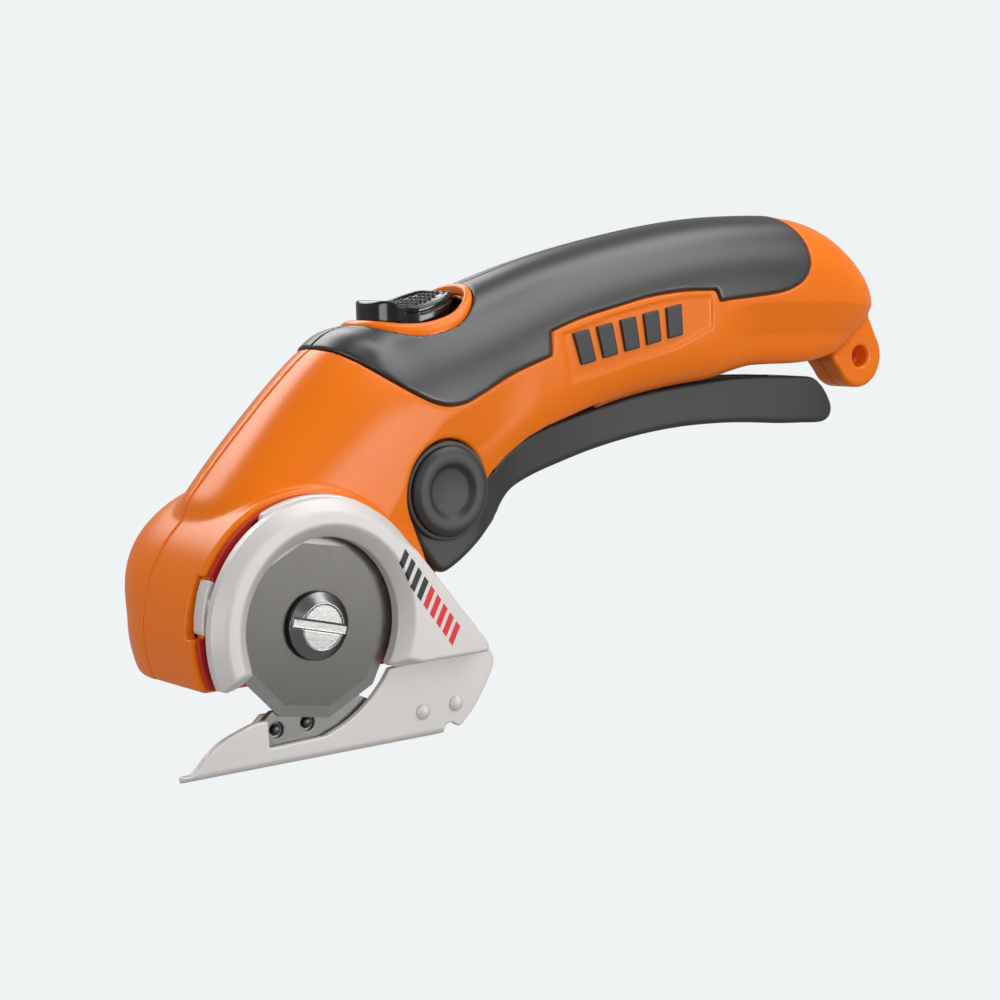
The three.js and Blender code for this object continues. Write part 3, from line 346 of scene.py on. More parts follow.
def field_object(name, F, g, mat, body, replaces=(), keep_over=60, polish=3):
    v, q = surface(F, g, polish)
    v, q = tidy(v, q, keep_over)
    return mesh_object(name, v, q, mat, body, replaces)


def lathe(name, profile, x, z, mat, body, replaces=(), seg=96, sharp=35):
    """turned piece about a line along Y: profile of (radius, y), closed on the axis"""
    seg = max(24, int(seg / COARSE))
    verts, faces = [], []
    rings = []
    for r, y in profile:
        if r < 1e-6:
            rings.append([len(verts)])
            verts.append((x, y, z))
        else:
            rings.append(list(range(len(verts), len(verts) + seg)))
            for k in range(seg):
                a = 2 * math.pi * k / seg
                verts.append((x + r * math.cos(a), y, z + r * math.sin(a)))
    closed = len(rings[0]) > 1 and len(rings[-1]) > 1
    pairs = list(zip(rings, rings[1:])) + ([(rings[-1], rings[0])] if closed else [])
    for A, B in pairs:
        if len(A) == 1 and len(B) == 1:
            continue
        for k in range(seg):
            k2 = (k + 1) % seg
            if len(A) == 1:
                faces.append((A[0], B[k2], B[k]))
            elif len(B) == 1:
                faces.append((A[k], A[k2], B[0]))
            else:
                faces.append((A[k], A[k2], B[k2], B[k]))
    v = np.array(verts)
    # faces point outwards
    vol = 0
    for f in faces:
        a = v[f[0]] - v.mean(0)
        for i in range(1, len(f) - 1):
            vol += np.dot(a, np.cross(v[f[i]] - v.mean(0), v[f[i + 1]] - v.mean(0)))
    if vol < 0:
        faces = [tuple(reversed(f)) for f in faces]
    return mesh_object(name, v, faces, mat, body, replaces, sharp=sharp)


# --------------------------------------------------------------------------------------
# materials
# --------------------------------------------------------------------------------------
def lin(hexcode):
    out = []
    for i in (0, 2, 4):
        c = int(hexcode[i:i + 2], 16) / 255
        out.append(c / 12.92 if c <= 0.04045 else ((c + 0.055) / 1.055) ** 2.4)
    return (*out, 1.0)


def finish_material(name, base, rough, metal=0.0, grain=900, bump=0.05, vary=0.06, rough_vary=0.06,
                    wear=0.0, wear_colour=None, stretch=None, coat=0.0, coat_rough=0.2, sheen=0.0, spec=0.5, mottling=60, layers=None, speckle=0.0):
    m = bpy.data.materials.new(name)
    m.use_nodes = True
    nt = m.node_tree
    nt.nodes.clear()
    N, L = nt.nodes.new, nt.links.new
    out = N("ShaderNodeOutputMaterial")
    b = N("ShaderNodeBsdfPrincipled")
    L(b.outputs["BSDF"], out.inputs["Surface"])
    tc = N("ShaderNodeTexCoord")
    mp = N("ShaderNodeMapping")
    mp.inputs["Scale"].default_value = stretch or (1, 1, 1)
    L(tc.outputs["Object"], mp.inputs["Vector"])
    big = N("ShaderNodeTexNoise")
    big.inputs["Scale"].default_value = mottling
    big.inputs["Detail"].default_value = 4
    L(tc.outputs["Object"], big.inputs["Vector"])
    fine = N("ShaderNodeTexNoise")
    fine.inputs["Scale"].default_value = grain
    fine.inputs["Detail"].default_value = 3
    fine.inputs["Roughness"].default_value = 0.6
    L(mp.outputs["Vector"], fine.inputs["Vector"])
    # colour
    mix = N("ShaderNodeMix")
    mix.data_type = "RGBA"
    dark = tuple(c * (1 - vary) for c in base[:3]) + (1,)
    light = tuple(min(1, c * (1 + vary)) for c in base[:3]) + (1,)
    mix.inputs[6].default_value = dark
    mix.inputs[7].default_value = light
    if speckle:
        blend = N("ShaderNodeMix")
        blend.data_type = "FLOAT"
        blend.inputs[0].default_value = speckle
        L(big.outputs["Fac"], blend.inputs[2])
        L(fine.outputs["Fac"], blend.inputs[3])
        L(blend.outputs[0], mix.inputs[0])
    else:
        L(big.outputs["Fac"], mix.inputs[0])
    colour = mix.outputs[2]
    if wear > 0:
        geo = N("ShaderNodeNewGeometry")
        ramp = N("ShaderNodeValToRGB")
        ramp.color_ramp.elements[0].position = 0.51
        ramp.color_ramp.elements[1].position = 0.60
        L(geo.outputs["Pointiness"], ramp.inputs["Fac"])
        mul = N("ShaderNodeMath")
        mul.operation = "MULTIPLY"
        L(ramp.outputs["Color"], mul.inputs[0])
        mul2 = N("ShaderNodeMath")
        mul2.operation = "MULTIPLY"
        mul2.inputs[1].default_value = wear
        L(big.outputs["Fac"], mul.inputs[1])
        L(mul.outputs[0], mul2.inputs[0])
        wm = N("ShaderNodeMix")
        wm.data_type = "RGBA"
        wm.inputs[7].default_value = wear_colour or light
        L(mul2.outputs[0], wm.inputs[0])
        L(colour, wm.inputs[6])
        colour = wm.outputs[2]
    if layers:
        colour = layers(nt, tc, colour)
    L(colour, b.inputs["Base Color"])
    # roughness
    rr = N("ShaderNodeMapRange")
    rr.inputs["To Min"].default_value = max(0.02, rough - rough_vary)
    rr.inputs["To Max"].default_value = min(1, rough + rough_vary)
    L(fine.outputs["Fac"], rr.inputs["Value"])
    L(rr.outputs["Result"], b.inputs["Roughness"])
    b.inputs["Metallic"].default_value = metal
    b.inputs["Specular IOR Level"].default_value = spec
    if coat:
        b.inputs["Coat Weight"].default_value = coat
        b.inputs["Coat Roughness"].default_value = coat_rough
    if sheen:
        b.inputs["Sheen Weight"].default_value = sheen
        b.inputs["Sheen Roughness"].default_value = 0.5
    if bump:
        bp = N("ShaderNodeBump")
        bp.inputs["Strength"].default_value = 1.0
        bp.inputs["Distance"].default_value = bump / 1000.0
        L(fine.outputs["Fac"], bp.inputs["Height"])
        L(bp.outputs["Normal"], b.inputs["Normal"])
    return m


ORANGE = finish_material("orange_plastic", lin("EC7403"), 0.28, grain=2600, bump=0.006, vary=0.04, rough_vary=0.05, mottling=25, wear=0.06, wear_colour=lin("F6A050"), spec=0.27)
SOFT = finish_material("soft_grip", lin("161617"), 0.37, grain=3200, bump=0.02, vary=0.12, rough_vary=0.07, mottling=40, sheen=0.02, spec=0.78)
GLOSS = finish_material("black_gloss", lin("0E0E0F"), 0.16, grain=1500, bump=0.004, vary=0.15, rough_vary=0.05, spec=0.55)
DARK = finish_material("dark_plastic", lin("2A2B2B"), 0.46, grain=3000, bump=0.018, vary=0.07, rough_vary=0.07, wear=0.25, wear_colour=lin("6C6D6E"))
BADGE = finish_material("badge_plastic", lin("232426"), 0.45, grain=3000, bump=0.015, vary=0.10, rough_vary=0.06, wear=0.25, wear_colour=lin("55585C"))
SILVER = finish_material("silver_paint", lin("D3D0CE"), 0.46, metal=0.22, grain=2200, bump=0.012, vary=0.04, rough_vary=0.07, speckle=0.5, wear=0.25, wear_colour=lin("E4E3E0"))
STEEL = finish_material("ground_steel", lin("51504E"), 0.36, metal=0.9, grain=3000, bump=0.012, vary=0.30, rough_vary=0.08, stretch=(1, 1, 0.05), speckle=0.75)
EDGE = finish_material("ground_edge", lin("ABABA9"), 0.38, metal=0.9, grain=1800, bump=0.006, vary=0.08, rough_vary=0.06, stretch=(0.3, 1, 0.3), speckle=0.6)
ANVIL = finish_material("anvil_steel", lin("787877"), 0.40, metal=0.85, grain=1500, bump=0.012, vary=0.10, rough_vary=0.08, stretch=(0.08, 1, 1), speckle=0.6)
CHROME = finish_material("bright_screw", lin("808080"), 0.26, metal=1.0, grain=700, bump=0.02, vary=0.05, rough_vary=0.05, speckle=0.3)
BRASS = finish_material("brass", lin("B3934A"), 0.30, metal=0.95, grain=1200, bump=0.01, vary=0.1, rough_vary=0.08)
RED = finish_material("red_paint", lin("B8221E"), 0.40, grain=1800, bump=0.01, vary=0.06, rough_vary=0.06)
NYLON = finish_material("nylon", lin("D8D4C6"), 0.45, grain=1500, bump=0.01, vary=0.05, rough_vary=0.06)
PLATED = finish_material("plated_steel", lin("A9ABAD"), 0.30, metal=0.95, grain=900, bump=0.008, vary=0.08, rough_vary=0.08)
BLACKP = finish_material("black_plastic", lin("1B1B1C"), 0.45, grain=2500, bump=0.015, vary=0.12, rough_vary=0.06)
WRAP = finish_material("cell_wrap", lin("2F6FB5"), 0.30, grain=1500, bump=0.006, vary=0.06, rough_vary=0.05)
BOARD = finish_material("board_green", lin("2A7040"), 0.38, grain=2000, bump=0.01, vary=0.12, rough_vary=0.06)
REDP = finish_material("red_plastic", lin("B01818"), 0.40, grain=2000, bump=0.01, vary=0.08, rough_vary=0.05)

BY_SLOT = {"orange_plastic": ORANGE, "soft_grip": SOFT, "black_gloss": GLOSS, "dark_plastic": DARK, "silver_paint": SILVER, "steel": STEEL,
           "bright_screw": CHROME, "brass": BRASS, "red_paint": RED, "nylon": NYLON, "plated_steel": PLATED, "black_plastic": BLACKP,
           "cell_wrap": WRAP, "board_green": BOARD, "red_plastic": REDP}
for part in frame["record"]["subparts"]:
    o = frame["nodes"].get(part["node"])
    if o is None:
        continue
    o.data.materials.clear()
    o.data.materials.append(BY_SLOT[part["material_slot"]])

# --------------------------------------------------------------------------------------
# body
# --------------------------------------------------------------------------------------
WALL = 2.6
DRUM_R, DRUM_BOTTOM, NEAR_FACE, FAR_DEPTH = 31.5, -12.3, -22.0, 21.5
# each station: top point, bottom point, half width near, half width far, centre, exponents top near, top far, bottom
ST = np.array([
    [207.6, 65.2, 206.0, 61.6, 2.8, 2.8, 0.5, 2.2, 2.2, 2.1],
    [206.0, 69.6, 203.0, 58.0, 7.2, 7.2, 0.5, 2.2, 2.2, 2.3],
    [201.2, 75.8, 198.8, 54.0, 11.2, 11.2, 0.5, 2.3, 2.3, 2.6],
    [194.2, 82.0, 193.0, 50.0, 13.7, 13.7, 0.5, 2.4, 2.4, 3.0],
    [184.4, 87.9, 184.0, 47.5, 15.3, 15.3, 0.5, 2.4, 2.4, 3.6],
    [172.0, 91.0, 173.0, 46.6, 16.1, 16.1, 0.51, 2.4, 2.4, 4.0],
    [158.0, 91.4, 160.0, 47.0, 16.4, 16.4, 0.51, 2.4, 2.4, 4.0],
    [142.0, 91.05, 145.0, 47.4, 16.5, 16.5, 0.52, 2.4, 2.4, 4.0],
    [125.0, 89.4, 129.0, 46.7, 16.5, 16.5, 0.52, 2.4, 2.4, 4.0],
    [108.0, 86.8, 114.0, 45.2, 16.6, 16.6, 0.52, 2.4, 2.4, 4.0],
    [92.0, 83.8, 100.0, 42.8, 16.9, 16.9, 0.52, 2.4, 2.4, 4.0],
    [76.0, 80.0, 88.0, 39.4, 17.4, 17.4, 0.52, 2.4, 2.4, 4.0],
    [62.0, 75.8, 78.0, 35.6, 18.1, 18.1, 0.52, 2.4, 2.4, 4.0],
    [50.0, 72.7, 70.0, 31.4, 18.9, 18.7, 0.52, 2.4, 2.4, 4.0],
    [38.0, 69.8, 64.0, 25.8, 19.7, 19.2, 0.52, 2.5, 2.4, 4.0],
    [28.0, 66.8, 58.0, 18.5, 20.4, 19.6, 0.52, 2.6, 2.3, 4.0],
    [18.3, 63.3, 50.2, 11.8, 20.9, 19.8, 0.5, 2.8, 2.3, 4.0],
    [9.1, 56.2, 41.9, 4.2, 21.3, 19.8, 0.5, 3.0, 2.2, 4.0],
    [0.1, 47.8, 33.2, -4.2, 21.6, 19.6, 0.5, 3.2, 2.2, 4.0],
    [-8.9, 38.9, 24.0, -10.5, 21.8, 18.6, 0.5, 3.5, 2.2, 4.0],
    [-14.9, 32.4, 13.0, -11.5, 21.6, 17.0, 0.5, 3.5, 2.2, 4.0],
    [-19.1, 27.3, 3.0, -11.0, 20.0, 14.0, 0.5, 3.2, 2.2, 3.5],
    [-20.5, 20.0, -6.0, -9.0, 16.0, 9.0, 0.5, 2.6, 2.2, 3.0],
])
PER = 24


def station(u):
    n = len(ST) - 1
    i = np.clip(np.floor(u).astype(int), 0, n - 1)
    t = (u - i)[..., None]
    lo, hi = 2 * ST[0] - ST[1], 2 * ST[n] - ST[n - 1]

    def P(k):
        return np.where((k < 0)[..., None], lo, np.where((k > n)[..., None], hi, ST[np.clip(k, 0, n)]))

    a, b, c, d = P(i - 1), P(i), P(i + 1), P(i + 2)
    return 0.5 * (2 * b + (c - a) * t + (2 * a - 5 * b + 4 * c - d) * t * t + (-a + 3 * b - 3 * c + d) * t ** 3)


TAB = station(np.linspace(0, len(ST) - 1, PER * (len(ST) - 1) + 1))
_s = 0.33 * PER
_r = int(3 * _s)
_k = np.exp(-0.5 * (np.arange(-_r, _r + 1) / _s) ** 2)
_k /= _k.sum()
_pad = np.concatenate([2 * TAB[0] - TAB[1:_r + 1][::-1], TAB, 2 * TAB[-1] - TAB[-_r - 1:-1][::-1]])
_soft = sum(_k[i] * _pad[i:i + len(TAB)] for i in range(2 * _r + 1))
_w = smooth01((np.arange(len(TAB)) / PER - 0.6) / 1.5)[:, None]
TAB = TAB * (1 - _w) + _soft * _w


def body_map(X, Z):
    """for each side point: the station it lies on"""
    shape = X.shape
    x, z = X.ravel().astype(float), Z.ravel().astype(float)
    T, B = TAB[:, 0:2], TAB[:, 2:4]
    D = T - B
    best = np.full(x.shape, 1e9)
    U = np.zeros(x.shape)

    def S(j):
        return D[j, 0] * (z - B[j, 1]) - D[j, 1] * (x - B[j, 0])

    s0 = S(0)
    rear = -s0 / np.linalg.norm(D[0])
    prev = s0
    U[s0 <= 0] = 0
    n = len(TAB) - 1
    for j in range(n):
        nxt = S(j + 1)
        m = np.nonzero((prev > 0) & (nxt <= 0) | (prev <= 0) & (nxt > 0))[0]
        if len(m):
            t = prev[m] / (prev[m] - nxt[m])
            par = TAB[j] * (1 - t)[:, None] + TAB[j + 1] * t[:, None]
            d = par[:, 0:2] - par[:, 2:4]
            Ln = np.linalg.norm(d, axis=1)
            mid = par[:, 0:2] - d * par[:, 6:7]
            q = ((x[m] - mid[:, 0]) * d[:, 0] + (z[m] - mid[:, 1]) * d[:, 1]) / Ln
            qn = np.abs(q) / (Ln * 0.5)
            better = qn < best[m]
            mm = m[better]
            best[mm] = qn[better]
            U[mm] = j + t[better]
        prev = nxt
    U[(best > 1e8) & (prev > 0)] = n
    # the front end is closed a little inside the drum
    tip = np.where(U > n - 3 * PER, prev / np.linalg.norm(D[n]), -9.0)
    i = np.clip(np.floor(U).astype(int), 0, n - 1)
    t = (U - i)[:, None]
    par = TAB[i] * (1 - t) + TAB[i + 1] * t
    return par.reshape(*shape, -1).astype(f32), tip.reshape(shape).astype(f32), rear.reshape(shape).astype(f32)


SIDE_CREASE = spl([[56.5, 51.6], [51.5, 48.3], [46.5, 46.2], [41.8, 44.2], [36.0, 38.6], [30.5, 31.6], [23.8, 22.9], [16.0, 12.0]], 2.0)
REAR_CREASE = [[120.0, 65.2], [136.0, 67.2], [154.5, 68.1], [177.2, 67.4], [193.2, 66.3], [206.0, 64.8]]


def body_field(g):
    par, tip, rear = body_map(g.X2, g.Z2)
    Tx, Tz, Bx, Bz, wn, wf, c, etn, etf, eb = [par[..., k] for k in range(10)]
    L = np.hypot(Tx - Bx, Tz - Bz)
    ux, uz = (Tx - Bx) / L, (Tz - Bz) / L
    Mx, Mz = Tx - ux * c * L, Tz - uz * c * L
    q = (g.X2 - Mx) * ux + (g.Z2 - Mz) * uz
    up = q >= 0
    qa = np.abs(q) / np.where(up, c * L, (1 - c) * L)
    F = np.empty(g.n, f32)
    for near in (True, False):
        ys = np.nonzero(g.y < 0)[0] if near else np.nonzero(g.y >= 0)[0]
        if not len(ys):
            continue
        e = np.where(up, etn if near else etf, eb).astype(f32)[:, None, :]
        w = (wn if near else wf)[:, None, :]
        yy = np.abs(g.y[ys])[None, :, None]
        G = np.power(qa[:, None, :] ** e + (yy / w) ** e, 1 / e)
        F[:, ys, :] = G - 1
    gn = grad_norm(F, g.h)
    F /= np.maximum(gn, 0.01)
    F = rmax(F, np.broadcast_to(g.side(rear), F.shape), 0.8)
    F = np.maximum(F, g.side(tip))
    # style line on the side of the neck, and the soft fold along the rear
    d, s = polyline(g.X2, g.Z2, SIDE_CREASE)
    fold = np.where(s > 0, np.minimum(d, 11) * 0.13, 0)
    fade = smooth01((g.Z2 - 8) / 14) * smooth01((74 - g.X2) / 22)
    F += g.side((fold * fade).astype(f32))
    d, s = polyline(g.X2, g.Z2, REAR_CREASE)
    below = np.where(s < 0, np.minimum(d, 9), 0)
    fade = smooth01((g.X2 - 134) / 22)
    F += g.side((0.30 * below * fade).astype(f32))
    return F


def drum_field(g):
    hyp = np.hypot(g.X2, g.Z2)
    near = rmax(hyp - DRUM_R, DRUM_BOTTOM - g.Z2, 1.2)
    F = np.empty(g.n, f32)
    ysn = np.nonzero(g.y <= 0)[0]
    if len(ysn):
        F[:, ysn, :] = rmax(np.broadcast_to(near[:, None, :], (g.n[0], len(ysn), g.n[2])), NEAR_FACE - g.y[ysn][None, :, None], 0.8)
    ysf = np.nonzero(g.y > 0)[0]
    if len(ysf):
        gauge = np.maximum(hyp, -g.Z2 * DRUM_R / -DRUM_BOTTOM)
        gauge = blur(gauge, 0.8)
        phi = np.degrees(np.arctan2(g.Z2, -g.X2))
        k = smooth01(phi / 45)
        e = (2.3 + 2.3 * k)[:, None, :]
        t = np.clip(g.y[ysf] / FAR_DEPTH, 0, 1)[None, :, None]
        f = np.power(1 - np.power(t, e), 1 / e)
        over = np.maximum(g.y[ysf] - FAR_DEPTH, 0)[None, :, None]
        F[:, ysf, :] = gauge[:, None, :] - (DRUM_R - 20 * (1 - f)) + over * 3
        # far end: closed by a shallow dome
    if len(ysf):
        if len(ysn):
            raw = F.copy()
            gn = grad_norm(raw, g.h)
            F[:, ysf, :] = raw[:, ysf, :] / np.maximum(gn[:, ysf, :], 0.6)
        else:
            F /= np.maximum(grad_norm(F, g.h), 0.6)
        F[:, ysf, :] = np.maximum(F[:, ysf, :], g.y[ysf][None, :, None] - FAR_DEPTH * 0.985)
    return F


# side outlines -------------------------------------------------------------------------
GRIP_LOW = spl([[13.0, 66.0], [15.0, 63.9], [18.0, 61.3], [20.6, 59.2], [26.1, 55.3], [33.0, 51.2], [38.4, 48.6], [43.3, 47.4], [48.6, 47.8],
                [53.8, 49.6], [65.1, 54.1], [77.4, 57.6]], 0.8)
TAB_TOP = spl([[77.5, 63.6], [86.1, 66.2], [98.7, 68.8], [111.2, 71.1], [124.1, 72.2], [135.3, 72.1]], 1.0)
GRIP_REAR = spl([[136.4, 69.0], [142.8, 69.5], [149.9, 69.9], [158.8, 70.6], [164.7, 71.8], [169.1, 73.9], [171.8, 77.0], [172.4, 80.6],
                 [171.9, 84.6], [170.4, 88.0], [168.0, 92.0]], 0.8)
GRIP_OUT = GRIP_LOW + TAB_TOP + GRIP_REAR + [[168.0, 104.0], [13.0, 104.0]]
LABEL = [[81.0, 62.8], [98.7, 66.9], [111.2, 69.3], [124.1, 70.6], [133.4, 70.6], [133.4, 62.0], [120.0, 57.6], [103.1, 54.2], [83.2, 50.8]]
BEZEL = dict(x0=28.8, x1=61.6, w=14.7)
HOLE = dict(x0=31.2, x1=59.6, w=12.5)


def oval(x0, x1, w, d=0.0, n=120):
    cx, a, b = (x0 + x1) / 2, (x1 - x0) / 2 + d, w + d
    out = []
    for k in range(n):
        ph = 2 * math.pi * k / n
        c, s = math.cos(ph), math.sin(ph)
        out.append([cx + a * math.copysign(abs(c) ** 0.86, c), b * math.copysign(abs(s) ** 0.86, s)])
    return out


LEVER_TOP = [[64.6, 33.9], [73.0, 37.4], [81.0, 39.6], [90.0, 41.4], [100.0, 43.3], [110.5, 45.1], [120.0, 46.3], [130.5, 47.1],
             [140.0, 47.5], [150.6, 47.6], [161.0, 47.3], [172.6, 46.6], [180.6, 45.7], [184.2, 43.2]]
LEVER_BOTTOM = [[187.4, 39.7], [189.3, 37.1], [188.5, 34.7], [185.2, 33.1], [175.0, 33.3], [166.0, 33.8], [155.0, 34.8], [145.0, 35.4], [129.5, 35.5],
                [114.0, 34.4], [98.5, 32.2], [86.0, 29.7], [74.0, 26.9], [67.0, 24.3], [63.0, 21.0], [60.3, 17.7], [55.8, 15.0], [47.5, 9.5], [44.0, 7.6],
                [41.8, 6.8], [39.6, 7.4], [36.8, 10.6], [34.6, 13.4]]
LEVER_PLAN = [[20, 18.2], [51.0, 18.2], [55.0, 17.3], [60.0, 14.9], [66.0, 13.2], [75.0, 11.8], [90.0, 10.2], [105.0, 9.4], [130.0, 9.0],
              [160.0, 8.8], [178.0, 8.5], [186.0, 7.8], [189.2, 6.2], [191.0, 4.0]]
TRAVEL = math.radians(4)
ROOF = [[x, z + TRAVEL * (x - PIV[0]) + 1.0] for x, z in LEVER_TOP]
SLOT = [[59.6, 10.0], [59.6, 31.9], [61.4, 33.9]] + ROOF[:13] + [[186.4, 55.4], [191.4, 47.2], [191.4, 30.0], [140, 20.0]]


def plan_outline(grow):
    up = spl([[x, w + grow] for x, w in LEVER_PLAN], 1.5)
    return [[x, -w] for x, w in up] + [[x, w] for x, w in reversed(up)]


PIVOT_ZONE = arc(PIV[0], PIV[1], 12.7, 32, 212) + [[35.6, 9.6], [38.2, 6.0], [40.0, 2.0], [40.6, -4.0], [100.0, -4.0], [100.0, 20.0], [100.0, 40.0], [95.0, 44.0], [85.0, 41.5], [76.2, 39.6], [69.8, 37.5], [63.4, 34.0], [60.0, 31.7], [57.2, 29.6], [55.4, 27.4]]
SKIRT = [[61.4, 20.0], [100.0, 20.0], [100.0, 40.0], [95.0, 44.0], [85.0, 41.5], [76.2, 39.6], [69.8, 37.5], [63.4, 34.0], [61.4, 32.7]]
SCREWS = [[-17.5, 12.5], [64.0, 45.0], [85.5, 50.4], [178.5, 70.5], [14.5, -7.2]]
LUG = [201.6, 50.6]
LUG_OUT = arc(LUG[0], LUG[1], 9.0, -150, 30) + [[205.0, 63.5], [200.0, 65.0], [192.0, 60.0], [190.4, 50.0]]
TAB_NOTCH = [[-28.4, 0.3], [-33.0, 0.3], [-33.0, 14.1], [-26.2, 14.1], [-26.2, 12.0], [-28.4, 6.0]]
BADGE_Q = [[84.0, 62.9], [124.4, 69.3], [126.0, 61.4], [88.0, 54.9]]


def outer_field(g):
    Fb = body_field(g)
    Fd = drum_field(g)
    return rmin(Fb, Fd, 0.9), Fb


def housing_field(g, sign):
    """sign -1: blade side, +1: far side"""
    Fo, Fb = outer_field(g)
    grip2 = blur(poly(g.X2, g.Z2, GRIP_OUT), 0.6)
    slot2 = poly(g.X2, g.Z2, SLOT)
    plan2 = poly(*g.XY, plan_outline(0.6))
    zone2 = poly(g.X2, g.Z2, PIVOT_ZONE)
    hyp = np.hypot(g.X2, g.Z2)
    # skin with the pocket for the grip, the label field and the seat of the ring
    F = Fo
    pocket = np.maximum(g.side(grip2) - 0.12, -(Fb + 1.35))
    F = rcut(F, pocket, 0.30)
    label = blur(poly(g.X2, g.Z2, LABEL), 0.5)
    F = rcut(F, np.maximum(g.side(label), -(Fb + 0.32)), 0.15)
    bez = g.plan(poly(*g.XY, oval(**BEZEL, d=0.1)))
    F = rcut(F, np.maximum(np.maximum(bez, -(Fb + 1.7)), 50 - g.Z), 0.1)
    # lanyard lug
    lug = rmax(g.side(poly(g.X2, g.Z2, LUG_OUT)), np.abs(g.Y) - 5.8, 1.3)
    F = rmin(F, lug, 1.6)
    # hollow
    keep = Fo + WALL
    cav = rcut(keep, np.maximum(g.side(slot2) - 1.9, 50 - g.X), 0.5)
    cav = rcut(cav, np.maximum(g.side(zone2) - 1.6, 12.0 - np.abs(g.Y)), 0.5)
    cav = rcut(cav, np.maximum(g.side(poly(g.X2, g.Z2, SKIRT)) - 1.6, 7.8 - np.abs(g.Y)), 0.5)
    cav = rcut(cav, np.maximum(g.side(hyp) - 9.6, g.Y + 8.0), 0.5)
    for x, z in SCREWS:
        cav = rcut(cav, g.side(np.hypot(g.X2 - x, g.Z2 - z)) - 3.4, 0.5)
    F = np.maximum(F, -cav)
    # slot for the lever and the recess for its cheeks
    F = rcut(F, np.maximum(g.side(slot2), g.plan(plan2)), 0.7)
    F = rcut(F, np.maximum(g.side(zone2), 13.9 - np.abs(g.Y)), 0.7)
    F = rcut(F, np.maximum(g.side(poly(g.X2, g.Z2, SKIRT)), 9.6 - np.abs(g.Y)), 0.5)
    F = np.maximum(F, -np.maximum(g.side(np.hypot(g.X2 - PIV[0], g.Z2 - PIV[1])) - 2.8, 11.5 - np.abs(g.Y)))
    # opening for the slider, lanyard hole, socket, spindle bore, switch plunger
    F = np.maximum(F, -np.maximum(g.plan(poly(*g.XY, oval(**HOLE))), 55 - g.Z))
    F = rcut(F, np.maximum(g.side(np.hypot(g.X2 - LUG[0], g.Z2 - LUG[1])) - 3.1, np.abs(g.Y) - 20), 0.7)
    F = rcut(F, np.maximum(np.hypot(g.Y, g.Z - 64.5) - 3.2, 193 - g.X), 0.4)
    F = np.maximum(F, -np.maximum(g.side(hyp) - 6.8, np.maximum(g.Y + 7, -19.4 - g.Y)))
    F = np.maximum(F, -np.maximum(g.side(hyp) - 4.6, g.Y + 19))
    F = np.maximum(F, -np.maximum(np.maximum(np.abs(g.X - 74.5), np.abs(g.Y)) - 1.5, np.maximum(36 - g.Z, g.Z - 46)))
    if sign < 0:
        F = np.maximum(F, -np.maximum(g.side(poly(g.X2, g.Z2, TAB_NOTCH)), g.Y + 19.5))
    else:
        for x, z in SCREWS:
            r = g.side(np.hypot(g.X2 - x, g.Z2 - z))
            F = rcut(F, np.maximum(r - 2.9, HEADS[(x, z)] - g.Y), 0.35)
    return rmax(F, -sign * g.Y + 0.06, 0.28)


HEADS = {}
for k, (x, z) in enumerate(SCREWS):
    lo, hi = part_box(f"housing_screw_{k + 1}")
    HEADS[(x, z)] = hi.y * 1000 - OFF[1] - 2.45

H_BODY = 0.55
for sign, name in ((-1, "left"), (1, "right")):
    g = Grid([-33.5, -23.6 if sign < 0 else -0.9, -14], [213.2, 0.9 if sign < 0 else 23.2, 94], H_BODY)
    field_object(f"housing_{name}_shell", housing_field(g, sign), g, ORANGE, "body", [f"housing_{name}"], keep_over=2000)


def grip_field(g, sign):
    Fb = body_field(g)
    grip2 = blur(poly(g.X2, g.Z2, GRIP_OUT), 0.6)
    # the front end stands up as a thick rounded lip over the neck
    lip = np.exp(-(((g.X2 - 22.0) * 0.62 + (g.Z2 - 66.0) * 0.78) / 5.0) ** 2) * np.exp(-((np.maximum(g.X2 - 24.0, 0)) / 5.0) ** 2)
    F = rmax(rmax(Fb - 0.30 - 0.8 * g.side(lip.astype(f32)), g.side(grip2) + 0.06, 0.85), -(Fb + 1.2), 0.2)
    F = rcut(F, g.plan(poly(*g.XY, oval(**BEZEL, d=0.22))) + 0 * g.Z, 0.45)
    return rmax(F, -sign * g.Y + 0.05, 0.22)


for sign, name in ((-1, "left"), (1, "right")):
    g = Grid([12.0, -22.0 if sign < 0 else -0.9, 44], [174.5, 0.9 if sign < 0 else 22.0, 94], 0.5)
    field_object(f"grip_{name}_skin", grip_field(g, sign), g, SOFT, "body", [f"grip_{name}"], keep_over=2000)

# ring round the slider
g = Grid([27.0, -17.0, 53], [63.4, 17.0, 79], 0.3)
Fb = body_field(g)
ring2 = np.maximum(poly(*g.XY, oval(**BEZEL)), -poly(*g.XY, oval(**HOLE)))
field_object("slider_ring", rmax(rmax(Fb - 0.75, g.plan(ring2), 0.8), -(Fb + 1.5), 0.2), g, ORANGE, "body", ["slider_bezel"])

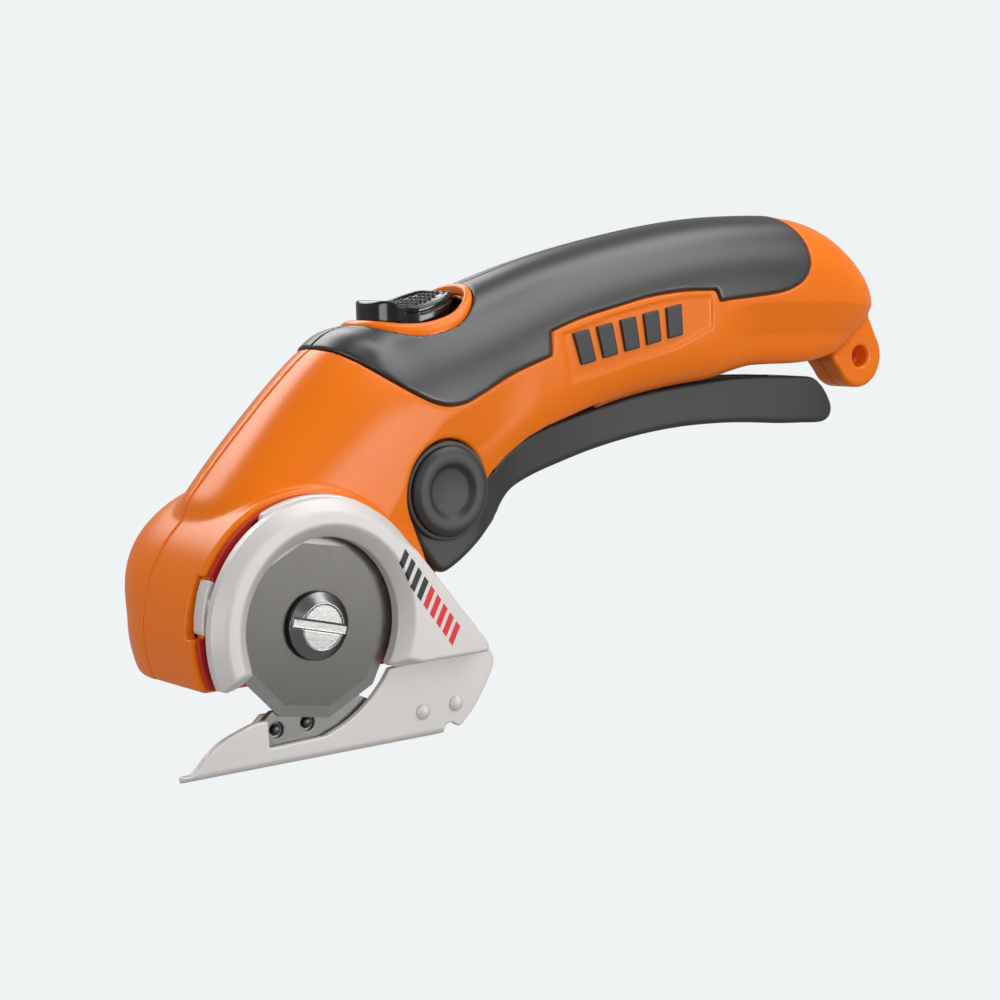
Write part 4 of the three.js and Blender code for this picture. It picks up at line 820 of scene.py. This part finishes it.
# slider
SL_TOP = spl([[33.0, 71.2], [33.1, 72.0], [33.8, 72.75], [35.0, 73.0], [36.2, 72.75], [37.8, 72.0], [39.6, 71.5], [42.4, 71.5], [46.4, 72.4], [50.6, 73.7], [54.2, 74.75], [55.7, 74.45], [56.5, 73.4]], 0.5)
SL_SIDE = SL_TOP + [[56.6, 66.0], [33.0, 60.5]]
g = Grid([31.6, -12.0, 58.5], [58.2, 12.0, 76.5], 0.2)
side2 = poly(g.X2, g.Z2, SL_SIDE)
plan2 = poly(*g.XY, oval(33.0, 56.6, 10.6))
F = rmax(g.side(side2), g.plan(plan2), 0.75)
depth_top = -side2
pad2 = poly(*g.XY, oval(39.6, 55.0, 8.4))
F = rcut(F, np.maximum(g.plan(pad2), g.side(side2) * -1 - 0.55) + 0 * F, 0.25)
band = np.maximum(np.abs(g.side(side2) + 1.75) - 0.28, -(g.plan(plan2) + 0.55))
F = rcut(F, np.maximum(band, 38.8 - g.X), 0.12)
for i in range(7):
    for j in range(-3, 4):
        x, y = 41.9 + i * 1.95, j * 1.95 + (i % 2) * 0.97
        if (x - 47.4) ** 2 / 44 + y * y / 36 < 1:
            z = float(np.interp(x, [p[0] for p in SL_TOP], [p[1] for p in SL_TOP])) - 0.55
            ball = np.sqrt((g.X - x) ** 2 + (g.Y - y) ** 2 + ((g.Z - z - 0.15) * 1.2) ** 2) - 0.62
            F = rmin(F, ball, 0.15)
F = np.maximum(F, -np.maximum(np.maximum(np.abs(g.Y) - 8.6, np.abs(g.X - 44.8) - 9.6), g.Z - 69.2 - (g.X - 44.6) * 0.2))
F = np.minimum(F, rmax(np.maximum(np.abs(g.Y) - 2.2, np.abs(g.X - 43) - 3.0), g.Z - 70.0, 0.2))
field_object("slider_button", F, g, GLOSS, "slider", ["lock_slider"])

# lever
g = Grid([28.5, -19.2, 5.0], [190.5, 19.2, 50.0], 0.45)
rim = arc(PIV[0], PIV[1], 11.9, 190, 24, 4)
out_l = list(reversed(spl(LEVER_TOP[:-1], 1.0))) + [[58.6, 29.6]]
lever_side = spl(LEVER_TOP, 1.0) + spl(LEVER_BOTTOM, 0.8) + arc(PIV[0], PIV[1], 11.9, 190, 24, 4) + [[58.6, 29.6]]
side2 = blur(poly(g.X2, g.Z2, lever_side), 0.7)
F = rmax(g.side(side2), g.plan(poly(*g.XY, plan_outline(0.0))), 1.5)
cham = (np.abs(g.Y) - g.plan(0 * poly(*g.XY, plan_outline(0.0))))
F = rcut(F, np.maximum(np.abs(g.Y) - 14.2, g.X - 60.6), 0.6)
GROOVE = [[92, 37.6], [110, 40.4], [130, 42.6], [150, 43.0], [172, 42.0], [176, 41.6], [176, 60], [92, 60]]
F = rcut(F, np.maximum(g.side(poly(g.X2, g.Z2, GROOVE)), np.abs(g.Y) - 6.4), 0.5)
F = np.maximum(F, -(g.side(np.hypot(g.X2 - PIV[0], g.Z2 - PIV[1])) - 3.3))
lo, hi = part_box("lever_spring")
sx, sy = (lo.x + hi.x) * 500 - OFF[0], (lo.y + hi.y) * 500 - OFF[1]
sr = (hi.x - lo.x) * 500 + 0.9
bottom = lo.z * 1000 - OFF[2] - 0.4 - TRAVEL * (sx - PIV[0])
F = rcut(F, np.maximum(g.plan(poly(*g.XY, arc(sx, sy, sr, 0, 360, 10))), bottom - g.Z), 0.2)
field_object("lever_bar", F, g, DARK, "lever", ["trigger_lever"], keep_over=400)

# pivot caps
for sign, name in ((-1, "left"), (1, "right")):
    prof = [[0, 12.4], [2.3, 12.4], [2.5, 12.6], [2.5, 18.5], [11.9, 18.5], [12.1, 18.7], [12.1, 19.7], [11.8, 20.0], [11.25, 20.05], [11.15, 19.7], [10.95, 19.7],
            [10.95, 20.7], [10.75, 21.15], [9.9, 21.78], [9.45, 21.9], [7.05, 21.9], [6.75, 21.8], [6.2, 21.2], [5.75, 20.85], [5.3, 20.75], [0, 20.75]]
    lathe(f"pivot_cap_{name}_turned", [[r, sign * a] for r, a in prof], PIV[0], PIV[1], DARK, "body", [f"pivot_cap_{name}"], seg=128, sharp=38)

# badge: slanted bars
for sign, name in ((-1, "left"), (1, "right")):
    g = Grid([80, -19.5 if sign < 0 else 13.5, 51], [130, -13.5 if sign < 0 else 19.5, 73], 0.25)
    Fb = body_field(g)
    q = np.array(BADGE_Q)
    F = np.full(g.n, 50.0, f32)
    NB = 5
    for k in range(NB):
        f0, f1 = (k + 0.06) / NB, (k + 0.72) / NB
        quad = [q[0] + (q[1] - q[0]) * f0, q[0] + (q[1] - q[0]) * f1, q[3] + (q[2] - q[3]) * (f1 - 0.035), q[3] + (q[2] - q[3]) * (f0 - 0.035)]
        b2 = poly(g.X2, g.Z2, quad) + 0.25
        F = np.minimum(F, rmax(np.broadcast_to(g.side(b2), F.shape) - 0.25, np.maximum(Fb - 0.42, -(Fb + 1.0)), 0.25))
    field_object(f"side_badge_{name}_bars", F, g, BADGE, "body", [f"side_badge_{name}"])

# --------------------------------------------------------------------------------------
# guard, plates, blade
# --------------------------------------------------------------------------------------
GUARD_FRONT, GUARD_BACK, WINDOW_R = -30.6, -23.55, 20.6


def stripes(nt, tc, colour):
    """plain printed bars on the wing, four black and then five red, along its outer edge"""
    N, L = nt.nodes.new, nt.links.new
    a, b = row([20.2, -30.6, 13.9]), row([36.2, -30.6, -7.4])
    d = b - a
    ln = float(np.linalg.norm(d))
    d = d / ln
    nrm = np.array([-d[2], 0, d[0]])
    sub = N("ShaderNodeVectorMath"); sub.operation = "SUBTRACT"
    sub.inputs[1].default_value = tuple(a)
    L(tc.outputs["Object"], sub.inputs[0])
    dot1 = N("ShaderNodeVectorMath"); dot1.operation = "DOT_PRODUCT"
    dot1.inputs[1].default_value = tuple(d)
    L(sub.outputs[0], dot1.inputs[0])
    dot2 = N("ShaderNodeVectorMath"); dot2.operation = "DOT_PRODUCT"
    dot2.inputs[1].default_value = tuple(nrm)
    L(sub.outputs[0], dot2.inputs[0])

    def math_node(op, x, y=None, z=None):
        m = N("ShaderNodeMath"); m.operation = op
        for i, v in enumerate((x, y, z)):
            if v is None:
                continue
            if isinstance(v, (int, float)):
                m.inputs[i].default_value = v
            else:
                L(v, m.inputs[i])
        return m.outputs[0]

    s = math_node("MULTIPLY", dot1.outputs["Value"], 1000.0)
    t = math_node("MULTIPLY", dot2.outputs["Value"], 1000.0)
    slant = math_node("ADD", s, math_node("MULTIPLY", t, 0.45))
    pitch = 2.95
    ph = math_node("FRACT", math_node("DIVIDE", slant, pitch))
    bar = math_node("LESS_THAN", ph, 0.62)
    inside = math_node("MULTIPLY", math_node("GREATER_THAN", slant, 0.0), math_node("LESS_THAN", slant, pitch * 9 - 0.6))
    across = math_node("LESS_THAN", math_node("ABSOLUTE", t), 2.3)
    geo = N("ShaderNodeNewGeometry")
    sp = N("ShaderNodeSeparateXYZ")
    L(geo.outputs["Normal"], sp.inputs[0])
    front = math_node("LESS_THAN", sp.outputs["Y"], -0.85)
    mask = math_node("MULTIPLY", math_node("MULTIPLY", bar, inside), math_node("MULTIPLY", across, front))
    is_red = math_node("GREATER_THAN", slant, pitch * 4)
    pick = N("ShaderNodeMix"); pick.data_type = "RGBA"
    pick.inputs[6].default_value = lin("191A1C")
    pick.inputs[7].default_value = lin("D3222A")
    L(is_red, pick.inputs[0])
    mix = N("ShaderNodeMix"); mix.data_type = "RGBA"
    L(mask, mix.inputs[0])
    L(colour, mix.inputs[6])
    L(pick.outputs[2], mix.inputs[7])
    return mix.outputs[2]


GUARD_PAINT = finish_material("silver_paint_printed", lin("D3D0CE"), 0.46, metal=0.22, grain=2200, bump=0.012, vary=0.04, rough_vary=0.07, speckle=0.5, wear=0.25, wear_colour=lin("E4E3E0"), layers=stripes)

g = Grid([-33.5, -31.6, -14.0], [48.5, -18.8, 32.0], 0.24)
hyp = np.hypot(g.X2, g.Z2)
WING = [[45.4, -7.4], [46.4, -9.0], [46.7, -10.6], [46.2, -11.6], [45.0, -12.1], [19.9, -12.1], [17.8, -11.0], [17.0, -9.0]]
LEG = [[-19.0, -7.6], [-21.9, -10.3], [-25.3, -11.3]]


def guard2(R, grow=0.0):
    out = arc(0, 0, R, 202, 38, 2) + [[45.2 + grow, -7.4 + grow * 0.4], [46.3 + grow, -9.2], [46.6 + grow, -10.6], [46.0 + grow, -11.8], [45.0, -12.1], [19.9, -12.1], [18.4, -11.6], [17.6, -10.6]]
    out += arc(0, 0, WINDOW_R, -28, 198, 3)
    out += [[-19.4, -8.6], [-21.9, -10.3], [-24.0, -11.1], [-26.0, -11.6]]
    return out


arch = poly(g.X2, g.Z2, guard2(29.7, -0.5))
base = poly(g.X2, g.Z2, guard2(30.3))
# conical outer front edge round the arch, from radius 27.4 on the face
cone = (g.side(hyp) - 27.4 - (g.Y - GUARD_FRONT) * 0.95) * 0.725
cone_on = g.side(smooth01((20.6 - g.X2) / 1.0))
front_cut = cone * 1.0
wing_edge = poly(g.X2, g.Z2, [[18.0, 24.6], [27.0, 16.8 + 2], [45.2, -7.4], [46.6, -10.6], [45.0, -12.1], [0, -12.1], [0, 24]])
slope = g.side(arch) + 0.0
# the outer edge falls back over three millimetres on the arch and one on the wing
depth = np.where(g.X2 < 20, 2.6, np.clip(2.6 - (g.X2 - 20) * 0.35, 0.7, 2.6)).astype(f32)
edge = (g.side(arch) + g.side(depth) * np.clip(1 - (g.Y - GUARD_FRONT) / 2.9, 0, 1)) * 0.85
F = rmax(edge, GUARD_FRONT - g.Y, 0.5)
F = rmax(F, g.Y - GUARD_BACK, 0.2)
lip = rmax(g.side(base), np.maximum(-25.4 - g.Y, g.Y - GUARD_BACK), 0.25)
F = rmin(F, lip, 0.3)
# window: bevel at the front, plain below
win = np.maximum(g.side(hyp) - WINDOW_R - np.clip((GUARD_FRONT + 2.6 - g.Y) * 1.2, 0, 3.12), GUARD_FRONT - 1.5 - g.Y) * 0.8
F = rcut(F, win, 0.35)
F = rcut(F, np.maximum(g.side(hyp) - 25.0, -25.2 - g.Y), 0.2)
# on the nose side the arch stands clear of the plate behind it
clear = np.maximum(-25.35 - g.Y, g.side((g.X2 + 13.6 - 0.25 * (g.Z2 - 27)).astype(f32)))
F = rcut(F, clear, 0.25)
seat = [[22.6, -16.0], [22.6, 14.0], [28.0, 12.5], [35.0, 8.0], [60.0, -4.0], [60.0, -20.0], [22.6, -20.0]]
F = np.maximum(F, -np.maximum(g.side(poly(g.X2, g.Z2, seat)), -25.7 - g.Y))
tab = rmax(g.side(poly(g.X2, g.Z2, [[-27.4, 1.2], [-29.6, 1.4], [-29.9, 2.4], [-29.6, 6.0], [-28.6, 10.6], [-27.4, 13.6], [-26.2, 13.0], [-26.6, 8.0]])), np.maximum(-24.6 - g.Y, g.Y + 20.3), 0.3)
F = np.minimum(F, tab)
F = np.minimum(F, np.maximum(np.maximum(np.abs(g.X + 27.4) - 0.7, np.abs(g.Z - 8) - 1.2), np.maximum(-27.0 - g.Y, g.Y + 23.0)))
for x, z in ((-13.9, 24.0), (27.6, -4.6)):
    F = np.maximum(F, -np.maximum(g.side(np.hypot(g.X2 - x, g.Z2 - z)) - 1.35, -27.6 - g.Y))
field_object("guard_casting", F, g, GUARD_PAINT, "body", ["blade_guard"], keep_over=300)

# red plate behind the blade
g = Grid([-32.5, -24.4, -13.5], [47, -21.4, 32.3], 0.25)
hyp = np.hypot(g.X2, g.Z2)
plate = poly(g.X2, g.Z2, arc(0, 0, 30.3, 202, 38, 2) + [[44.2, -6.4], [45.4, -10.6], [44.8, -12.0], [-24.0, -12.0]])
F = rmax(g.side(plate), np.maximum(-23.45 - g.Y, g.Y + 22.2), 0.2)
F = np.maximum(F, -(g.side(hyp) - 8.6))
F = np.maximum(F, -g.side(poly(g.X2, g.Z2, TAB_NOTCH)))
for x, z in ((-13.9, 24.0), (27.6, -4.6)):
    F = np.maximum(F, -(g.side(np.hypot(g.X2 - x, g.Z2 - z)) - 1.6))
F = np.maximum(F, -np.maximum(g.side(hyp) - 26.0, -23.3 - g.Y))
field_object("red_backing", F, g, RED, "body", ["backing_plate"])

# foot: fin with the cut-out, bent sole, strap behind the anvil
ZB = -31.0
FRONT, BACK = -25.4, -23.6
FIN = spl([[-36.9, ZB], [34.4, ZB]], 3)[:-1] + [[34.4, ZB], [35.4, ZB + 1.7]] + spl([[35.8, ZB + 2.2], [36.6, ZB + 2.5], [37.6, ZB + 2.4], [38.4, ZB + 1.9], [39.4, ZB + 1.3], [40.4, ZB + 1.6]], 0.4) + \
    spl([[40.6, ZB + 1.8], [43.6, -26.4], [47.0, -22.0], [50.0, -17.0], [50.6, -14.8], [49.8, -12.5]], 0.8) + [[45.0, -9.0], [38.5, -0.5], [33.5, 5.4], [27.5, 9.0], [24.6, 8.9], [26.0, 0.0], [25.3, -6.0], [23.6, -12.6]] + \
    [[19.8, -12.7]] + spl([[19.6, -12.9], [17.3, -15.9], [13.4, -19.7], [7.6, -23.5], [1.0, -26.1]], 0.8) + [[-14.1, -26.5], [-14.3, -20.3]] + \
    spl([[-14.6, -20.1], [-17.6, -20.2], [-21.5, -21.3], [-26.4, -23.1], [-30.2, -25.6], [-33.0, -28.4], [-34.3, -29.4]], 0.8) + [[-36.9, -29.4]]
ANVIL_OUT = [[-14.9, -28.8], [-14.9, -20.9], [-12.2, -18.6], [3.0, -17.6], [9.4, -17.2], [14.5, -19.5], [12.5, -23.0], [5.5, -28.8]]
ANVIL_FRONT = -24.0 + 0.45 + 0.15
ANVIL_BACK = ANVIL_FRONT + 1.6
g = Grid([-39.0, -27.0, -32.2], [52.5, -8.0, 10.5], 0.27)
fin2 = blur(poly(g.X2, g.Z2, FIN), 0.7)
F = rmax(g.side(fin2), np.maximum(FRONT - g.Y, g.Y - BACK), 0.28)
SOLE = [[-30.5, FRONT - 0.2], [34.2, FRONT - 0.2], [34.4, -9.4], [34.0, -9.0], [-14.0, -9.0]] + [[-14.2, -9.2], [-21.5, -17.6], [-26.5, -21.6], [-29.6, -23.4], [-30.5, -24.4]]
sole = rmax(g.plan(poly(*g.XY, SOLE)) + 0 * g.Z, np.maximum(ZB - g.Z, g.Z - ZB - 1.6), 0.35)
F = rmin(F, sole, 0.9)
# outer bend of the sheet
bend = 1.7 - np.hypot(np.minimum(g.Y - (FRONT + 1.7), 0), np.minimum(g.Z - (ZB + 1.7), 0))
F = np.maximum(F, np.where(g.X < 34.6, -bend, -5))
strap2 = poly(g.X2, g.Z2, [[-16.5, ZB + 0.4], [12.0, ZB + 0.4], [12.0, -22.5], [7.0, -19.4], [-13.6, -19.4], [-16.5, -22.0]])
F = np.minimum(F, rmax(g.side(strap2), np.maximum(ANVIL_BACK + 0.3 - g.Y, g.Y - ANVIL_BACK - 1.9), 0.3))
pocket = blur(poly(g.X2, g.Z2, ANVIL_OUT), 0.4) - 0.18
F = rcut(F, np.maximum(g.side(pocket), np.maximum(ANVIL_FRONT - 0.3 - g.Y, g.Y - ANVIL_BACK - 0.25)), 0.08)
for x, z in ((-11.0, -23.1), (-2.6, -22.7), (28.8, -24.5), (38.6, -23.9)):
    F = np.maximum(F, -(g.side(np.hypot(g.X2 - x, g.Z2 - z)) - 1.25))
F = np.maximum(F, -(g.side(np.hypot(g.X2 - 27.6, g.Z2 + 4.6)) - 1.6))
field_object("foot_pressing", F, g, SILVER, "body", ["foot_plate"], keep_over=300)

# anvil: ground plate with a sharp upper edge and one alignment notch
g = Grid([-16.2, -24.2, -30.0], [15.8, -21.0, -16.2], 0.16)
a2 = poly(g.X2, g.Z2, ANVIL_OUT)
F = rmax(g.side(a2), np.maximum(ANVIL_FRONT - g.Y, g.Y - ANVIL_BACK), 0.12)
F = np.maximum(F, (0.35 * (g.Z + 18.4) - (g.Y - ANVIL_FRONT) - 0.0) * 0.6 - 0.2)
for x, z in ((-11.0, -23.1), (-2.6, -22.7)):
    r = g.side(np.hypot(g.X2 - x, g.Z2 - z))
    F = np.maximum(F, -(r - 1.25))
    F = rcut(F, np.maximum(np.abs(r - 1.55) - 0.34, g.Y - ANVIL_FRONT - 0.8), 0.05)
F = rcut(F, np.maximum(np.maximum(np.abs(g.X + 9.9) - 0.16, g.Z + 27.9), g.Y - ANVIL_FRONT - 0.4), 0.05)
field_object("anvil_plate", F, g, ANVIL, "body", ["anvil_blade"], keep_over=200)

for k, (x, z) in enumerate(((-11.0, -23.1), (-2.6, -22.7))):
    lathe(f"anvil_rivet_{k + 1}_head", [[0, ANVIL_FRONT - 0.16], [0.6, ANVIL_FRONT - 0.14], [0.9, ANVIL_FRONT - 0.02], [1.0, ANVIL_FRONT + 0.15], [1.0, ANVIL_BACK + 2.2], [0, ANVIL_BACK + 2.2]],
          x, z, STEEL, "body", [f"anvil_rivet_{k + 1}"], seg=40)
for k, (x, z) in enumerate(((28.8, -24.5), (38.6, -23.9))):
    dome = [[1.95 * math.sin(math.radians(a)), FRONT - 0.12 - 1.05 * math.cos(math.radians(a))] for a in range(0, 91, 9)]
    lathe(f"foot_rivet_{k + 1}_head", [[0, dome[0][1]]] + dome[1:] + [[1.95, FRONT - 0.02], [1.0, FRONT - 0.02], [1.0, BACK + 0.3], [0, BACK + 0.3]],
          x, z, SILVER, "body", [f"foot_rivet_{k + 1}"], seg=48, sharp=50)

# blade: ten-sided plate with its ground bevel on the outer face
BY, BT = -24.0, 0.9
N_SIDE = 10
verts, faces = [], []
mats = []


def ring_pts(r, y, rot=0.0, n=N_SIDE):
    return [(r * math.cos(math.radians(242.2 + rot + k * 360 / n)), y, r * math.sin(math.radians(242.2 + rot + k * 360 / n))) for k in range(n)]


front = BY - BT / 2
back = BY + BT / 2
R_OUT, R_FLAT, R_HOLE = 22.45, 19.6, 4.2
loops = [ring_pts(R_FLAT, front), ring_pts(R_OUT, back - 0.22), ring_pts(R_OUT, back - 0.08), ring_pts(R_OUT - 0.15, back)]
base_i = []
for lp in loops:
    base_i.append(len(verts))
    verts += lp
HS = 40
hf, hb = len(verts), len(verts) + HS
verts += [(R_HOLE * math.cos(math.radians(242.2 + k * 9)), front, R_HOLE * math.sin(math.radians(242.2 + k * 9))) for k in range(HS)]
verts += [(R_HOLE * math.cos(math.radians(242.2 + k * 9)), back, R_HOLE * math.sin(math.radians(242.2 + k * 9))) for k in range(HS)]
for a, b in zip(base_i, base_i[1:]):
    for k in range(N_SIDE):
        k2 = (k + 1) % N_SIDE
        faces.append((a + k2, a + k, b + k, b + k2))
        mats.append(1)
for ring0, hole, rev in ((base_i[0], hf, False), (base_i[-1], hb, True)):
    for k in range(N_SIDE):
        k2 = (k + 1) % N_SIDE
        fan = [ring0 + k, ring0 + k2] + [hole + (4 * (k + 1) - i) % HS for i in range(5)]
        faces.append(tuple(fan if not rev else reversed(fan)))
        mats.append(0)
for k in range(HS):
    k2 = (k + 1) % HS
    faces.append((hf + k, hf + k2, hb + k2, hb + k))
    mats.append(0)
v = np.array(verts)
ob = mesh_object("blade_ten_sided", v, [tuple(f) for f in faces], [STEEL, EDGE], "blade_set", ["cutting_blade"], smooth=False)
ob.data.polygons.foreach_set("material_index", np.array(mats, dtype=np.int32))
import bmesh
bm = bmesh.new()
bm.from_mesh(ob.data)
bmesh.ops.recalc_face_normals(bm, faces=bm.faces)
bmesh.ops.triangulate(bm, faces=[f for f in bm.faces if len(f.verts) > 4])
bm.to_mesh(ob.data)
bm.free()

# blade screw: slotted head with a conical flank and a flat centre
g = Grid([-9.0, -28.6, -9.0], [9.0, -24.0, 9.0], 0.15)
hyp = g.side(np.hypot(g.X2, g.Z2))
head = np.maximum(hyp - 8.1, g.Y + 24.85)
head = rmax(head, -27.7 - g.Y, 0.25)
cone = (hyp - 5.75 - (g.Y + 27.7) * 1.25) * 0.62
head = rmax(head, cone, 0.2)
head = rcut(head, np.maximum(np.maximum(hyp - 5.2, -20 - hyp), g.Y + 27.55), 0.08)
a = math.radians(14)
sx = g.X * math.cos(a) - g.Z * math.sin(a)
sz = g.X * math.sin(a) + g.Z * math.cos(a)
head = rcut(head, np.maximum(np.abs(sz) - 1.05, g.Y + 26.3), 0.12)
field_object("blade_screw_head", head, g, CHROME, "blade_set", ["blade_screw"], keep_over=200)

# --------------------------------------------------------------------------------------
# stage, light, camera
# --------------------------------------------------------------------------------------
def stage_material(name, colour):
    m = bpy.data.materials.new(name)
    m.use_nodes = True
    b = m.node_tree.nodes["Principled BSDF"]
    b.inputs["Base Color"].default_value = tuple(c * 0.004 for c in colour[:3]) + (1,)
    b.inputs["Roughness"].default_value = 0.95
    b.inputs["Specular IOR Level"].default_value = 0.0
    b.inputs["Emission Color"].default_value = colour
    b.inputs["Emission Strength"].default_value = 0.996
    return m


bm = bmesh.new()
prof = [(0.6, 0.0), (1.2, 0.0)] + [(1.6 + 0.9 * math.sin(math.radians(a)), 0.9 - 0.9 * math.cos(math.radians(a))) for a in range(0, 91, 6)] + [(2.5, 5.0)]
AROUND = 96
hub = bm.verts.new((0.09, 0.0, -0.0004))
rows = []
for d, z in prof:
    rows.append([bm.verts.new((0.09 + d * math.cos(2 * math.pi * k / AROUND), d * math.sin(2 * math.pi * k / AROUND), z - 0.0004)) for k in range(AROUND)])
for k in range(AROUND):
    bm.faces.new((hub, rows[0][k], rows[0][(k + 1) % AROUND]))
for a, b in zip(rows, rows[1:]):
    for k in range(AROUND):
        bm.faces.new((a[k], b[k], b[(k + 1) % AROUND], a[(k + 1) % AROUND]))
me = bpy.data.meshes.new("studio_sweep")
bm.to_mesh(me)
bm.free()
for p in me.polygons:
    p.use_smooth = True
sweep = bpy.data.objects.new("studio_sweep", me)
bpy.context.scene.collection.objects.link(sweep)
me.materials.append(stage_material("stage_white", (0.871, 0.896, 0.904, 1)))
sweep.visible_glossy = False
sweep.visible_diffuse = False

world = bpy.data.worlds.new("studio")
bpy.context.scene.world = world
world.use_nodes = True
bg = world.node_tree.nodes["Background"]
bg.inputs[0].default_value = (1.0, 0.99, 0.98, 1)
bg.inputs[1].default_value = 0.36


def area(name, loc, target, size, power, colour=(1, 1, 1)):
    l = bpy.data.lights.new(name, "AREA")
    l.shape = "RECTANGLE"
    l.size, l.size_y = size
    l.energy = power
    l.color = colour
    o = bpy.data.objects.new(name, l)
    bpy.context.scene.collection.objects.link(o)
    o.location = loc
    o.visible_camera = False
    o.rotation_mode = "QUATERNION"
    o.rotation_quaternion = (Vector(target) - Vector(loc)).to_track_quat("-Z", "Y")
    return o


MID = (0.08, 0.0, 0.06)
area("overhead", (0.42, -0.05, 0.95), MID, (0.34, 0.8), 3.6)
area("front_top", (0.55, -0.52, 0.70), MID, (0.5, 0.6), 3.5)
area("back_top", (0.10, 0.80, 0.66), MID, (0.9, 0.34), 4.8)
area("front_left", (-0.35, -0.95, 0.35), MID, (0.45, 0.45), 1.6)
area("left", (-1.00, -0.10, 0.12), MID, (0.5, 0.5), 3.6, (1.0, 0.985, 0.96))
area("front_right", (0.62, -0.97, 0.05), MID, (0.40, 0.40), 4.6, (1.0, 0.985, 0.96))

cam = bpy.data.cameras.new("camera")
cam.lens = 79.2
cam.sensor_width = 36
cam.clip_start, cam.clip_end = 0.01, 20
co = bpy.data.objects.new("camera", cam)
bpy.context.scene.collection.objects.link(co)
az, el, roll, dist = math.radians(37.56), math.radians(6.83), math.radians(-1.49), 0.53683
target = Vector((0.05470, -0.008, 0.05488))
d = Vector((math.sin(az) * math.cos(el), math.cos(az) * math.cos(el), -math.sin(el)))
right = Vector((math.cos(az), -math.sin(az), 0))
up = right.cross(d)
r2 = right * math.cos(roll) + up * math.sin(roll)
u2 = -right * math.sin(roll) + up * math.cos(roll)
co.matrix_world = Matrix.Translation(target - d * dist) @ Matrix((r2, u2, -d)).transposed().to_4x4()
bpy.context.scene.camera = co
bpy.context.scene.view_settings.view_transform = "Standard"
